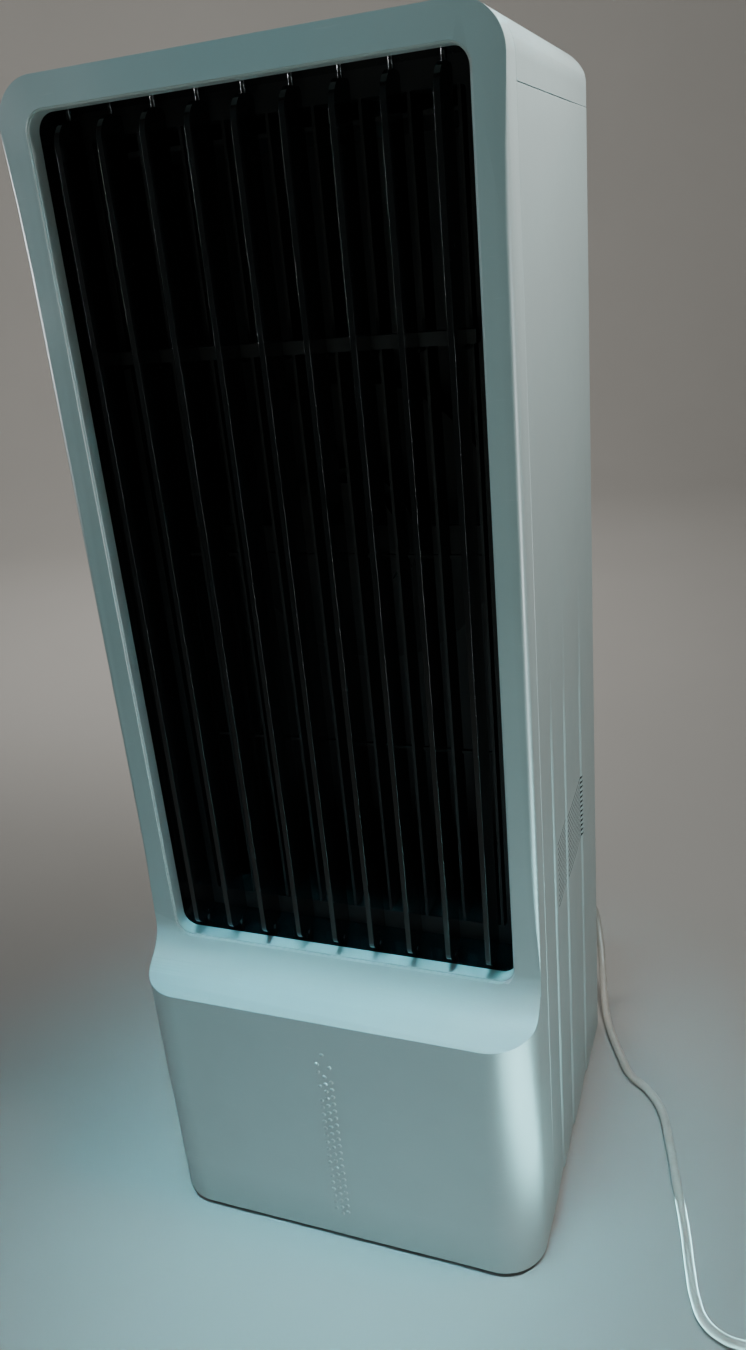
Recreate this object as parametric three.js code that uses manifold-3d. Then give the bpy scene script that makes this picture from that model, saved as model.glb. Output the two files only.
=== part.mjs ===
// A tower evaporative air cooler: tall outlet with nine swinging vanes, blower, cooling pad,
// slide-out water tank and pump. Millimetres, +Z up, -Y is the front, the origin is on the floor
// under the middle of the body.
import * as THREE from "three";
import { mergeVertices } from "three/addons/utils/BufferGeometryUtils.js";
import Module from "manifold-3d";

const wasm = await Module();
wasm.setup();

// Body
const width = 264;
const depth = 255;
const height = 720;
const wall = 2.8;
const gap = 0.3;
const footHeight = 3;
const cornerRadius = 29;
const topRadius = 23;
const rearRadius = 8;
const rearTopRadius = 25;
const halfWidth = width / 2;
const frontY = -depth / 2;
const rearY = depth / 2;
const shellBottom = footHeight;

// The outlet face stands back from the lower front, above a hollowed shelf
const faceY = -88.5;
const lipZ = 183;
const shelfAngle = THREE.MathUtils.degToRad(10);
const shelfRadius = 26;
const sideSeamY = -70.5;
const topSeamZ = 687;
const rearReturn = 20;

// Window and vanes
const windowHalf = 116.4;
const windowBottom = 203.8;
const windowTop = 704.2;
const windowRadius = 11;
const windowChamfer = 2.8;
const vaneCount = 9;
const vanePitch = 25;
const vaneFrontY = -87.6;
const vaneRearY = -64.8;
const vaneBottom = 212;
const vaneTop = 698.5;
const vaneThickness = 2.4;
const vaneTopRadius = 13;
const vaneBottomRadius = 6;
const pivotY = -72.6;
const pinRadius = 1.5;
const linkZ = 575;
const linkY = -59;
const linkHeight = 7;
const pegRadius = 1.3;

// Louvre frame and outlet guard
const louvreWall = 2.4;
const louvreFront = -85.3;
const louvreRear = -50;
const guardRear = -30;
const guardBars = [330, 455];

// Air path
const plenumRear = 70;
const fanZ = 455;
const wheelRadius = 92;
const wheelFront = 32;
const wheelRear = 59;
const wheelBlades = 20;
const wheelHub = 14;
const bladeLean = 0.6;
const bracketRear = 8;
const bracketThick = 3;
const inletRadius = 82;
const motorRadius = 38;
const shaftRadius = 4;
const padHalf = 107;
const padBottom = 164;
const padTop = 556;
const padFront = 78;
const padRear = 106;

// Tank bay
const tankHalf = 107;
const tankFront = -98;
const tankBottom = 9;
const tankTop = 146;
const tankWall = 2.5;
const pullHalf = 42.5;
const pullBottom = 115.5;
const pullTop = 142.5;
const pullDepth = 22.5;
const gaugeLeft = 70;
const gaugeRight = 82;
const gaugeBottom = 30;
const gaugeTop = 130;
const runnerInner = 90;
const runnerOuter = 96;
const deckZ = 150;
const deckThick = 2.4;
const pumpTop = 48;
const pumpNeck = 7;
const pumpX = -80;
const pumpY = 88;
const pipeRadius = 5;
const hoseX = -119;
const latchX = 100;
const latchZ = 152.8;
const latchRadius = 7;
const tongueHalf = 3.6;

// Rear openings, bottom to top
const rearHalf = 111;
const grilleBottom = 172;
const grilleTop = 560;
const slatCount = 26;
const handleZ = 640;
const screwHead = 3.5;
const screwShank = 1.5;
const grilleDepth = 10;
const grilleBorder = 18;
const mullionHalf = 3;
const lugReach = 36;
const lugHalf = 7;
const lugThick = 3;
const handleHalf = 52;
const handleTall = 18;
const handleDepth = 30;
const pocketWall = 2.5;
const screwPlaces = [[-100, 572], [100, 572], [-100, 676], [100, 676]];
const footPlaces = [[-96, -88], [96, -88], [-96, 96], [96, 96]];

// Controls on the top
const panelY = -30;
const panelWidth = 172;
const panelDepth = 52;
const buttonCount = 5;
const buttonPitch = 27;
const buttonRadius = 8;
const buttonY = panelY - 8;
const buttonRise = 0.8;
const buttonCap = 2.7;
const stemRadius = 2.5;
const stemLength = 6;
const panelCorner = 8;
const panelTop = height - 0.1;
const panelBottom = panelTop - 1.2;
const boardTop = height - 9.4;

// Side vent
const ventFront = -26;
const ventRear = 68.5;
const ventRib = 8;
const ventBottom = 219;
const ventRows = 13;
const ventPitch = 3.8;
const slitHeight = 1.6;

// Mains lead
const leadDiameter = 6.2;
const floorZ = leadDiameter / 2 + 0.2;
const coilX = 316;
const coilY = -90.9;
const coilInner = 24.7;
const coilOuter = 46.4;
const coilLayers = 2;
const glandX = 118.5;
const glandZ = 92;
const glandLength = 24;
const glandNeck = 5.4;
const plugX = 359;
const plugY = -66;
const plugZ = 7.3;
const plugBoot = 26;
const plugBody = 34;
const plugHalf = 17.5;
const plugThick = 14;
const pinLength = 19;
const pinHalfPitch = 9.3;
const plugPinRadius = 2;

function plastic(color, roughness = 0.5, metalness = 0) {
  return new THREE.MeshStandardMaterial({ color, roughness, metalness });
}

const shellFinish = () => plastic(0xa9bcbc, 0.42);
const blackGloss = () => plastic(0x0b0c0d, 0.18);
const blackMatt = () => plastic(0x17191a, 0.55);
const greyPlastic = () => plastic(0x5c6163, 0.6);
const clearPlastic = () => plastic(0xb9cdd1, 0.2);
const rubber = () => plastic(0x1c1c1c, 0.9);
const metal = () => plastic(0xb9bcbe, 0.35, 0.9);

const cooler = new THREE.Group();

function place(name, shape, material, parent = cooler) {
  const geometry = shape instanceof THREE.BufferGeometry ? shape : toGeometry(shape);
  const mesh = new THREE.Mesh(geometry, material);
  mesh.name = name;
  parent.add(mesh);
  return mesh;
}

function toSolid(geometry) {
  const bare = geometry.index ? geometry.toNonIndexed() : geometry.clone();
  bare.deleteAttribute("normal");
  bare.deleteAttribute("uv");
  const merged = mergeVertices(bare, 1e-4);
  const vertProperties = new Float32Array(merged.attributes.position.array);
  const triVerts = new Uint32Array(merged.index.array);
  return new wasm.Manifold(new wasm.Mesh({ numProp: 3, vertProperties, triVerts }));
}

function toGeometry(solid) {
  const mesh = solid.getMesh();
  const geometry = new THREE.BufferGeometry();
  const points = new Float32Array((mesh.vertProperties.length / mesh.numProp) * 3);
  for (let i = 0; i < points.length / 3; i += 1) {
    points.set(mesh.vertProperties.subarray(i * mesh.numProp, i * mesh.numProp + 3), i * 3);
  }
  geometry.setAttribute("position", new THREE.BufferAttribute(points, 3));
  geometry.setIndex(new THREE.BufferAttribute(new Uint32Array(mesh.triVerts), 1));
  geometry.computeVertexNormals();
  return geometry;
}

function block(x0, x1, y0, y1, z0, z1) {
  const geometry = new THREE.BoxGeometry(x1 - x0, y1 - y0, z1 - z0);
  geometry.translate((x0 + x1) / 2, (y0 + y1) / 2, (z0 + z1) / 2);
  return toSolid(geometry);
}

function extrude(shape, length, options = {}) {
  return new THREE.ExtrudeGeometry(shape, {
    depth: length,
    bevelEnabled: false,
    curveSegments: 5,
    ...options,
  });
}

// Shape in (x, y), raised from z0 to z1
function alongZ(shape, z0, z1, options) {
  const geometry = extrude(shape, z1 - z0, options);
  geometry.translate(0, 0, z0);
  return toSolid(geometry);
}

// Shape in (x, z), swept from y0 to y1
function alongY(shape, y0, y1, options) {
  const geometry = extrude(shape, y1 - y0, options);
  geometry.rotateX(Math.PI / 2);
  geometry.translate(0, y1, 0);
  return toSolid(geometry);
}

// Shape in (y, z), swept from x0 to x1
function alongX(shape, x0, x1, options) {
  const geometry = extrude(shape, x1 - x0, options);
  geometry.rotateX(Math.PI / 2);
  geometry.rotateZ(Math.PI / 2);
  geometry.translate(x0, 0, 0);
  return toSolid(geometry);
}

function rodY(radius, y0, y1, x, z, sides = 20) {
  const geometry = new THREE.CylinderGeometry(radius, radius, y1 - y0, sides);
  geometry.translate(x, (y0 + y1) / 2, z);
  return toSolid(geometry);
}

function rodZ(radius, z0, z1, x, y, sides = 20) {
  const geometry = new THREE.CylinderGeometry(radius, radius, z1 - z0, sides);
  geometry.rotateX(Math.PI / 2);
  geometry.translate(x, y, (z0 + z1) / 2);
  return toSolid(geometry);
}

// One radius for all corners, or four, counter-clockwise from the low corner
function roundedRect(x0, x1, y0, y1, radii) {
  const [a, b, c, d] = Array.isArray(radii) ? radii : [radii, radii, radii, radii];
  const shape = new THREE.Shape();
  shape.moveTo(x0 + a, y0);
  shape.lineTo(x1 - b, y0);
  if (b) shape.absarc(x1 - b, y0 + b, b, -Math.PI / 2, 0);
  shape.lineTo(x1, y1 - c);
  if (c) shape.absarc(x1 - c, y1 - c, c, 0, Math.PI / 2);
  shape.lineTo(x0 + d, y1);
  if (d) shape.absarc(x0 + d, y1 - d, d, Math.PI / 2, Math.PI);
  shape.lineTo(x0, y0 + a);
  if (a) shape.absarc(x0 + a, y0 + a, a, Math.PI, 1.5 * Math.PI);
  return shape;
}

// Space in front of the outlet face and above the shelf, grown into the body by inset
function recess(inset) {
  const reach = 60;
  const radius = shelfRadius + inset;
  const centreY = faceY - shelfRadius;
  const cornerZ = lipZ + (faceY - frontY) * Math.tan(shelfAngle);
  const centreZ = cornerZ + shelfRadius * Math.tan((Math.PI / 2 - shelfAngle) / 2);
  const shelfEnd = -Math.PI / 2 + shelfAngle;
  const startY = centreY + radius * Math.cos(shelfEnd);
  const startZ = centreZ + radius * Math.sin(shelfEnd);
  const outY = startY - reach * Math.cos(shelfAngle);
  const outZ = startZ - reach * Math.sin(shelfAngle);
  const shape = new THREE.Shape();
  shape.moveTo(outY, outZ);
  shape.lineTo(startY, startZ);
  shape.absarc(centreY, centreZ, radius, shelfEnd, 0);
  shape.lineTo(centreY + radius, height + reach);
  shape.lineTo(outY, height + reach);
  shape.lineTo(outY, outZ);
  return alongX(shape, -halfWidth - 1, halfWidth + 1);
}

function frontBlock(inset, bottom, back) {
  const radius = cornerRadius - inset;
  const half = halfWidth - inset;
  const edge = topRadius - inset;
  const plan = roundedRect(-half, half, frontY + inset, back, [radius, radius, 0, 0]);
  const front = roundedRect(-half, half, bottom, height - inset, [0, 0, edge, edge]);
  return alongZ(plan, bottom, height)
    .intersect(alongY(front, frontY - 1, back + 1))
    .subtract(recess(inset));
}

function windowShape(grow = 0) {
  const half = windowHalf + grow;
  const radius = Math.max(windowRadius + grow, 2);
  return roundedRect(-half, half, windowBottom - grow, windowTop + grow, radius);
}

function frontShell() {
  const bevel = {
    bevelEnabled: true,
    bevelSize: windowChamfer,
    bevelThickness: windowChamfer,
    bevelSegments: 1,
  };
  return frontBlock(0, shellBottom, sideSeamY)
    .subtract(frontBlock(wall, shellBottom - 1, sideSeamY + 1))
    .subtract(alongY(windowShape(), faceY - 20, faceY, bevel))
    .subtract(alongY(windowShape(), faceY - 20, faceY + 20));
}

function ventSlits(x0, x1) {
  const slits = [];
  for (let row = 0; row < ventRows; row += 1) {
    const z = ventBottom + row * ventPitch;
    slits.push(block(x0, x1, ventFront, ventRib - 1, z, z + slitHeight));
    slits.push(block(x0, x1, ventRib + 1, ventRear, z, z + slitHeight));
  }
  return slits;
}

function sidePanel(side) {
  const front = sideSeamY + gap;
  const outer = roundedRect(halfWidth - rearReturn, halfWidth, front, rearY, [0, 0, rearRadius, 0]);
  const inner = roundedRect(halfWidth - rearReturn - 1, halfWidth - wall, front - 1, rearY - wall,
    [0, 0, rearRadius - wall, 0]);
  let panel = alongZ(outer, shellBottom, topSeamZ - gap)
    .subtract(alongZ(inner, shellBottom - 1, topSeamZ + 1));
  for (const slit of ventSlits(halfWidth - wall - 1, halfWidth + 1)) {
    panel = panel.subtract(slit);
  }
  const lugRear = rearY - wall - gap;
  const lugFront = lugRear - lugThick;
  for (const [x, z] of screwPlaces.filter(([across]) => across > 0)) {
    panel = panel
      .add(block(halfWidth - lugReach, halfWidth - 1, lugFront, lugRear, z - lugHalf, z + lugHalf))
      .subtract(rodY(screwShank + gap, lugFront - 1, lugRear + 1, x, z, 10));
  }
  if (side < 0) return panel.mirror([1, 0, 0]);
  return panel.subtract(rodY(glandNeck + gap, rearY - 10, rearY + 1, glandX, glandZ, 16));
}

function topBlock(inset, bottom) {
  const half = halfWidth - inset;
  const edge = topRadius - inset;
  const start = inset ? sideSeamY - 2 : sideSeamY + gap;
  const end = rearY - inset;
  const front = roundedRect(-half, half, bottom, height - inset, [0, 0, edge, edge]);
  const sideView = roundedRect(start, end, bottom, height - inset, [0, 0, rearTopRadius - inset, 0]);
  const corner = rearRadius - inset;
  const plan = roundedRect(-half, half, start, end, [0, 0, corner, corner]);
  return alongY(front, start - 1, rearY + 1)
    .intersect(alongX(sideView, -halfWidth - 1, halfWidth + 1))
    .intersect(alongZ(plan, bottom, height + 1));
}

function panelShape(grow, radius) {
  const halfX = panelWidth / 2 + grow;
  const halfY = panelDepth / 2 + grow;
  return roundedRect(-halfX, halfX, panelY - halfY, panelY + halfY, radius);
}

function topCover() {
  return topBlock(0, topSeamZ)
    .subtract(topBlock(wall, topSeamZ - 1))
    .subtract(alongZ(panelShape(gap, panelCorner), panelBottom - gap, height + 1))
    .subtract(alongZ(panelShape(-4, panelCorner - 2), panelBottom - 9, height + 1));
}

function buttonX(index) {
  return (index - (buttonCount - 1) / 2) * buttonPitch;
}

function indicatorShape(grow) {
  return roundedRect(-26 - grow, 26 + grow, panelY + 8 - grow, panelY + 18 + grow, 3 + grow);
}

function controlPanel() {
  let panel = alongZ(panelShape(0, panelCorner), panelBottom, panelTop);
  for (let i = 0; i < buttonCount; i += 1) {
    panel = panel.subtract(rodZ(buttonRadius + 0.4, height - 5, height + 5, buttonX(i), buttonY, 24));
  }
  return panel.subtract(alongZ(indicatorShape(gap), height - 5, height + 5));
}

function button(index) {
  const top = height + buttonRise;
  const capBottom = top - buttonCap;
  return rodZ(buttonRadius, capBottom, top, buttonX(index), buttonY, 24)
    .add(rodZ(stemRadius, capBottom - stemLength, capBottom + 1, buttonX(index), buttonY, 10));
}

function vaneX(index) {
  return (index - (vaneCount - 1) / 2) * vanePitch;
}

function louvreFrame() {
  let frame = alongY(windowShape(louvreWall), louvreFront, louvreRear)
    .subtract(alongY(windowShape(-0.4), louvreFront - 1, louvreRear + 1));
  for (let i = 0; i < vaneCount; i += 1) {
    frame = frame.subtract(rodZ(pinRadius + 0.4, 0, height, vaneX(i), pivotY, 8));
  }
  return frame;
}

function vane(index) {
  const outline = roundedRect(vaneFrontY, vaneRearY, vaneBottom, vaneTop,
    [vaneBottomRadius, 3, 3, vaneTopRadius]);
  const x = vaneX(index);
  return alongX(outline, x - vaneThickness / 2, x + vaneThickness / 2, { curveSegments: 4 })
    .add(rodZ(pinRadius, vaneTop - 4, windowTop + 1.8, x, pivotY, 8))
    .add(rodZ(pinRadius, windowBottom - 1.8, vaneBottom + 4, x, pivotY, 8))
    .add(block(x - 2.4, x + 2.4, vaneRearY - 2, linkY + 3, linkZ - 2.4, linkZ - 0.6))
    .add(rodZ(pegRadius, linkZ - 1.6, linkZ + 4.4, x, linkY, 8));
}

function linkBar() {
  const reach = vaneX(vaneCount - 1) + 6;
  let link = block(-reach, reach, linkY - 4.4, linkY + 3.4, linkZ, linkZ + linkHeight);
  for (let i = 0; i < vaneCount; i += 1) {
    const x = vaneX(i);
    link = link.subtract(block(x - 1.9, x + 1.9, linkY - 3.4, linkY + 1.9, linkZ - 1, linkZ + 5));
  }
  return link;
}

function outletGuard() {
  const low = windowBottom + 4;
  const high = windowTop - 4;
  let guard = alongY(windowShape(louvreWall), louvreRear + gap, guardRear)
    .subtract(alongY(windowShape(-13), louvreRear, guardRear + 1));
  for (let i = 0; i < vaneCount; i += 1) {
    const x = vaneX(i);
    guard = guard.add(block(x - 0.9, x + 0.9, louvreRear + 1, guardRear, low, high));
  }
  for (const z of guardBars) {
    guard = guard.add(block(4 - windowHalf, windowHalf - 4, guardRear - 3, guardRear - 0.6, z - 1, z + 1));
  }
  return guard;
}

function plenum() {
  const skin = 2.4;
  const half = windowHalf + louvreWall;
  const low = windowBottom - louvreWall;
  const high = windowTop - 20;
  return block(-half, half, guardRear + gap, plenumRear, low, high)
    .subtract(block(skin - half, half - skin, guardRear - 1, plenumRear - skin, low + skin, high - skin))
    .subtract(rodY(inletRadius + 4, plenumRear - 10, plenumRear + 10, 0, fanZ, 36));
}

function inletRing() {
  const outline = [
    [inletRadius - 6, 0],
    [inletRadius - 4, 0],
    [inletRadius + 1, 8],
    [inletRadius + 1, 10],
    [inletRadius + 9, 10],
    [inletRadius + 9, 12],
    [inletRadius - 1, 12],
    [inletRadius - 1, 8.5],
    [inletRadius - 6, 0],
  ];
  const ring = new THREE.LatheGeometry(outline.map(([r, y]) => new THREE.Vector2(r, y)), 32);
  ring.translate(0, plenumRear - 10 + gap, fanZ);
  return toSolid(ring);
}

function blowerWheel() {
  const bladeDepth = wheelRear - wheelFront - 2;
  const bladeMiddle = (wheelRear + wheelFront) / 2;
  const bladeAt = wheelRadius - 14;
  let wheel = rodY(wheelRadius, wheelFront, wheelFront + 2, 0, fanZ, 36)
    .add(rodY(wheelHub, wheelFront, wheelFront + 16, 0, fanZ, 16))
    .add(rodY(wheelRadius, wheelRear - 3, wheelRear, 0, fanZ, 36)
      .subtract(rodY(wheelRadius - 18, wheelRear - 5, wheelRear + 5, 0, fanZ, 36)));
  for (let i = 0; i < wheelBlades; i += 1) {
    const blade = new THREE.BoxGeometry(1.6, bladeDepth, 26);
    blade.rotateY(bladeLean);
    blade.translate(0, bladeMiddle, bladeAt);
    blade.rotateY((i * 2 * Math.PI) / wheelBlades);
    blade.translate(0, 0, fanZ);
    wheel = wheel.add(toSolid(blade));
  }
  return wheel.subtract(rodY(shaftRadius + gap, wheelFront - 5, wheelFront + 12, 0, fanZ, 16));
}

function motorBracket() {
  const front = bracketRear - bracketThick;
  const inner = motorRadius + 4;
  const reach = windowHalf - 0.4;
  return rodY(motorRadius + 6, front, bracketRear, 0, fanZ, 28)
    .subtract(rodY(motorRadius + 0.6, front - 5, bracketRear + 5, 0, fanZ, 28))
    .add(block(-reach, -inner, front, bracketRear, fanZ - 8, fanZ + 8))
    .add(block(inner, reach, front, bracketRear, fanZ - 8, fanZ + 8));
}

function distributor() {
  const floor = padTop + 4;
  let trough = block(-padHalf, padHalf, padFront + 2, padRear - 2, floor, floor + 16)
    .subtract(block(2 - padHalf, padHalf - 2, padFront + 4, padRear - 4, floor + 2, floor + 20));
  for (let i = -3; i <= 3; i += 1) {
    trough = trough.subtract(rodZ(1.5, floor - 2, floor + 4, i * 28, (padFront + padRear) / 2, 8));
  }
  return trough;
}

function rearGrille() {
  const skin = 2.4;
  const pitch = (grilleTop - grilleBottom - 2 * grilleBorder) / slatCount;
  const slot = pitch * 0.62;
  const end = rearHalf - grilleBorder;
  let grille = block(-rearHalf, rearHalf, rearY - grilleDepth, rearY, grilleBottom, grilleTop)
    .subtract(block(skin - rearHalf, rearHalf - skin, rearY - grilleDepth - 2, rearY - skin,
      grilleBottom + skin, grilleTop - skin));
  for (let i = 0; i < slatCount; i += 1) {
    const z = grilleBottom + grilleBorder + i * pitch;
    grille = grille
      .subtract(block(-end, -mullionHalf, rearY - 6, rearY + 1, z, z + slot))
      .subtract(block(mullionHalf, end, rearY - 6, rearY + 1, z, z + slot));
  }
  return grille;
}

function rearUpperPanel() {
  let panel = block(-rearHalf, rearHalf, rearY - wall, rearY, grilleTop + gap, topSeamZ - gap)
    .add(block(-handleHalf, handleHalf, rearY - handleDepth, rearY - 1,
      handleZ - handleTall, handleZ + handleTall))
    .subtract(block(pocketWall - handleHalf, handleHalf - pocketWall,
      rearY - handleDepth + pocketWall, rearY + 1,
      handleZ - handleTall + pocketWall, handleZ + handleTall - pocketWall));
  for (const [x, z] of screwPlaces) {
    panel = panel.subtract(rodY(screwHead + gap, rearY - 1.8, rearY + 1, x, z, 12));
    panel = panel.subtract(rodY(screwShank + gap, rearY - 5, rearY + 1, x, z, 10));
  }
  return panel;
}

function screw(x, z) {
  return rodY(screwHead, rearY - 1.5, rearY - 0.2, x, z, 12)
    .add(rodY(screwShank, rearY - 12, rearY - 1, x, z, 10));
}

function waterTank() {
  const half = tankHalf;
  const back = rearY - wall;
  return block(-half, half, tankFront, back, tankBottom, tankTop)
    .subtract(block(tankWall - half, half - tankWall, tankFront + tankWall, back - tankWall,
      tankBottom + tankWall, tankTop + 1))
    .add(block(-rearHalf, rearHalf, back, rearY, tankBottom - 1, grilleBottom - 1))
    .add(block(-pullHalf, pullHalf, rearY - pullDepth, rearY - 1, pullBottom, pullTop))
    .subtract(block(tankWall - pullHalf, pullHalf - tankWall, rearY - pullDepth + tankWall, rearY + 1,
      pullBottom + tankWall, pullTop - tankWall))
    .subtract(block(gaugeLeft, gaugeRight, rearY - 1.2, rearY + 1, gaugeBottom, gaugeTop))
    .subtract(rodY(latchRadius + gap, rearY - 6, rearY + 1, latchX, latchZ, 24));
}

// Quarter-turn latch, its tongue straight up when the tank is free to slide
function tankLatch() {
  return rodY(latchRadius, rearY - 4, rearY - 0.2, latchX, latchZ, 24)
    .add(block(latchX - tongueHalf, latchX + tongueHalf, rearY - 6, rearY - 3.6, latchZ - 4, latchZ + 16));
}

function pump() {
  return block(pumpX - 20, pumpX + 20, pumpY - 16, pumpY + 16, tankBottom + tankWall + gap, pumpTop)
    .add(rodZ(pipeRadius + 1, pumpTop - 2, pumpTop + pumpNeck, pumpX, pumpY, 20));
}

function riserPipe() {
  const low = pumpTop + pumpNeck + gap;
  const high = deckZ - 3;
  return rodZ(pipeRadius, low, high, pumpX, pumpY, 20)
    .subtract(rodZ(pipeRadius - 1.5, low - 1, high + 1, pumpX, pumpY, 20));
}

// Round bar along a smooth curve through the points
function bar(points, radius, steps, sides) {
  const curve = new THREE.CatmullRomCurve3(points.map((p) => new THREE.Vector3(...p)), false, "centripetal");
  const ring = new THREE.Shape();
  ring.moveTo(radius, 0);
  for (let i = 1; i < sides; i += 1) {
    const angle = (i * 2 * Math.PI) / sides;
    ring.lineTo(radius * Math.cos(angle), radius * Math.sin(angle));
  }
  ring.closePath();
  return toSolid(new THREE.ExtrudeGeometry(ring, { steps, extrudePath: curve, bevelEnabled: false }));
}

function feedHose() {
  const top = padTop + 34;
  return bar([
    [pumpX, pumpY, deckZ + 0.4],
    [pumpX - 1.4, pumpY, deckZ + 4],
    [pumpX - 9, pumpY, deckZ + 7.6],
    [pumpX - 20, pumpY, deckZ + 8],
    [pumpX - 32, pumpY, deckZ + 9.6],
    [hoseX + 0.6, pumpY, deckZ + 19],
    [hoseX, pumpY, deckZ + 44],
    [hoseX, pumpY, padTop],
    [hoseX + 1, pumpY, top - 6],
    [hoseX + 9, pumpY, top + 6],
    [hoseX + 20, pumpY + 2, top + 2],
    [hoseX + 24, pumpY + 4, top - 10],
    [hoseX + 24, pumpY + 4, top - 22],
  ], pipeRadius, 34, 8);
}

function deck() {
  const half = halfWidth - wall - 1;
  return block(-half, half, sideSeamY + 2, rearY - 22, deckZ, deckZ + deckThick)
    .subtract(block(6 - padHalf, padHalf - 6, padFront + 4, padRear - 4, deckZ - 1, deckZ + 4));
}

function base() {
  const half = halfWidth - wall - gap;
  const radius = cornerRadius - wall - gap;
  const plan = roundedRect(-half, half, frontY + wall + gap, rearY - wall - gap, [radius, radius, 6, 6]);
  return alongZ(plan, shellBottom, shellBottom + 3)
    .add(block(-runnerOuter, -runnerInner, tankFront, rearY - 20, shellBottom + 2, tankBottom - gap))
    .add(block(runnerInner, runnerOuter, tankFront, rearY - 20, shellBottom + 2, tankBottom - gap));
}

function foot(x, y) {
  return rodZ(13, 0, footHeight - gap, x, y, 20);
}

// Tapered strain relief with a neck through the rear wall and a nut-like collar inside
function gland() {
  const outline = [
    [0, -5],
    [glandNeck + 1.6, -5],
    [glandNeck + 1.6, -wall - gap],
    [glandNeck, -wall - gap],
    [glandNeck, gap],
    [glandNeck + 1.5, gap],
    [glandNeck + 1.5, 2.5],
    [glandNeck - 0.6, 4],
    [leadDiameter / 2 + 0.9, glandLength],
    [0, glandLength],
  ];
  const shape = new THREE.LatheGeometry(outline.map(([r, y]) => new THREE.Vector2(r, y)), 20);
  shape.translate(glandX, rearY, glandZ);
  return toSolid(shape);
}

// Hangs from the relief to the floor behind the rear corner, then runs forward beside the body
const leadRoute = [
  [glandX, rearY + glandLength + 2 * gap, glandZ],
  [glandX, rearY + 31.5, glandZ - 0.7],
  [glandX + 0.5, rearY + 39.5, glandZ - 4],
  [glandX + 1.5, rearY + 46.5, glandZ - 10],
  [glandX + 3, rearY + 51, glandZ - 18],
  [glandX + 4.5, rearY + 53, glandZ - 28],
  [glandX + 6.5, rearY + 51.5, glandZ - 42],
  [glandX + 9, rearY + 46, glandZ - 58],
  [130, 163.5, 20.5],
  [133, 150, 10.5],
  [137, 134, 5.2],
  [142.5, 117, floorZ],
  [149, 101, floorZ],
  [156, 86, floorZ],
  [165, 68.5, floorZ],
  [179, 56.5, floorZ],
  [190.5, 40, floorZ],
  [199, 12, floorZ],
  [208, -27, floorZ],
  [216.3, -63, floorZ],
  [222.2, -94, floorZ],
  [226.5, -112, floorZ],
  [233, -125.5, floorZ],
  [244, -132.8, floorZ],
  [257, -134.2, floorZ],
  [275, -134.2, floorZ],
  [292, -134.2, floorZ],
];

function coilRing() {
  const low = floorZ - leadDiameter / 2;
  const high = coilLayers * leadDiameter;
  const outline = [
    [coilInner, low],
    [coilOuter, low],
    [coilOuter, high],
    [coilInner, high],
    [coilInner, low],
  ];
  const ring = new THREE.LatheGeometry(outline.map(([r, y]) => new THREE.Vector2(r, y)), 32);
  ring.rotateX(Math.PI / 2);
  ring.translate(coilX, coilY, 0);
  return toSolid(ring);
}

// Flat two-pin plug lying on the floor, with its boot towards the coil
function plug() {
  const bodyStart = plugY + plugBoot;
  const outline = new THREE.Shape();
  outline.moveTo(-7, bodyStart - 2);
  outline.lineTo(7, bodyStart - 2);
  outline.lineTo(plugHalf, bodyStart + 12);
  outline.lineTo(plugHalf, bodyStart + 22);
  outline.lineTo(13, bodyStart + plugBody);
  outline.lineTo(-13, bodyStart + plugBody);
  outline.lineTo(-plugHalf, bodyStart + 22);
  outline.lineTo(-plugHalf, bodyStart + 12);
  outline.closePath();
  const body = alongZ(outline, plugZ - plugThick / 2, plugZ + plugThick / 2).translate(plugX, 0, 0);
  const boot = new THREE.CylinderGeometry(6, leadDiameter / 2 + 0.8, plugBoot, 20);
  boot.translate(plugX, plugY + plugBoot / 2, plugZ);
  return body.add(toSolid(boot));
}

function plugPin(side) {
  const start = plugY + plugBoot + plugBody + gap;
  return rodY(plugPinRadius, start, start + pinLength, plugX + side * pinHalfPitch, plugZ, 16);
}

// Fixed shell, chassis and air path
place("front_shell", frontShell(), shellFinish());
place("left_side_panel", sidePanel(-1), shellFinish());
place("right_side_panel", sidePanel(1), shellFinish());
place("top_cover", topCover(), shellFinish());
place("control_panel", controlPanel(), blackGloss());
place("indicator_window", alongZ(indicatorShape(0), panelBottom, panelTop), clearPlastic());
place("control_board", block(-80, 80, -52, -8, boardTop - 1.6, boardTop), plastic(0x2c5a3c, 0.6));
place("louvre_frame", louvreFrame(), blackGloss());
place("outlet_guard", outletGuard(), blackMatt());
place("vane_motor", rodZ(14, 182, windowBottom - louvreWall - gap, vaneX(0), pivotY), metal());
place("plenum", plenum(), greyPlastic());
place("inlet_ring", inletRing(), greyPlastic());
place("motor_bracket", motorBracket(), metal());
place("blower_motor", rodY(motorRadius, -6, wheelFront - 4, 0, fanZ, 28), metal());
place("cooling_pad", block(-padHalf, padHalf, padFront, padRear, padBottom, padTop), plastic(0x8a6f45, 0.95));
place("water_distributor", distributor(), greyPlastic());
place("feed_hose", feedHose(), clearPlastic());
place("drip_deck", deck(), greyPlastic());
place("base", base(), blackMatt());
place("mains_box", block(20, 110, -50, 40, deckZ + 3, deckZ + 40), greyPlastic());
place("rear_upper_panel", rearUpperPanel(), shellFinish());
place("cord_gland", gland(), rubber());
screwPlaces.forEach(([x, z], i) => place(`rear_screw_${i + 1}`, screw(x, z), metal()));
footPlaces.forEach(([x, y], i) => place(`foot_${i + 1}`, foot(x, y), rubber()));

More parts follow.
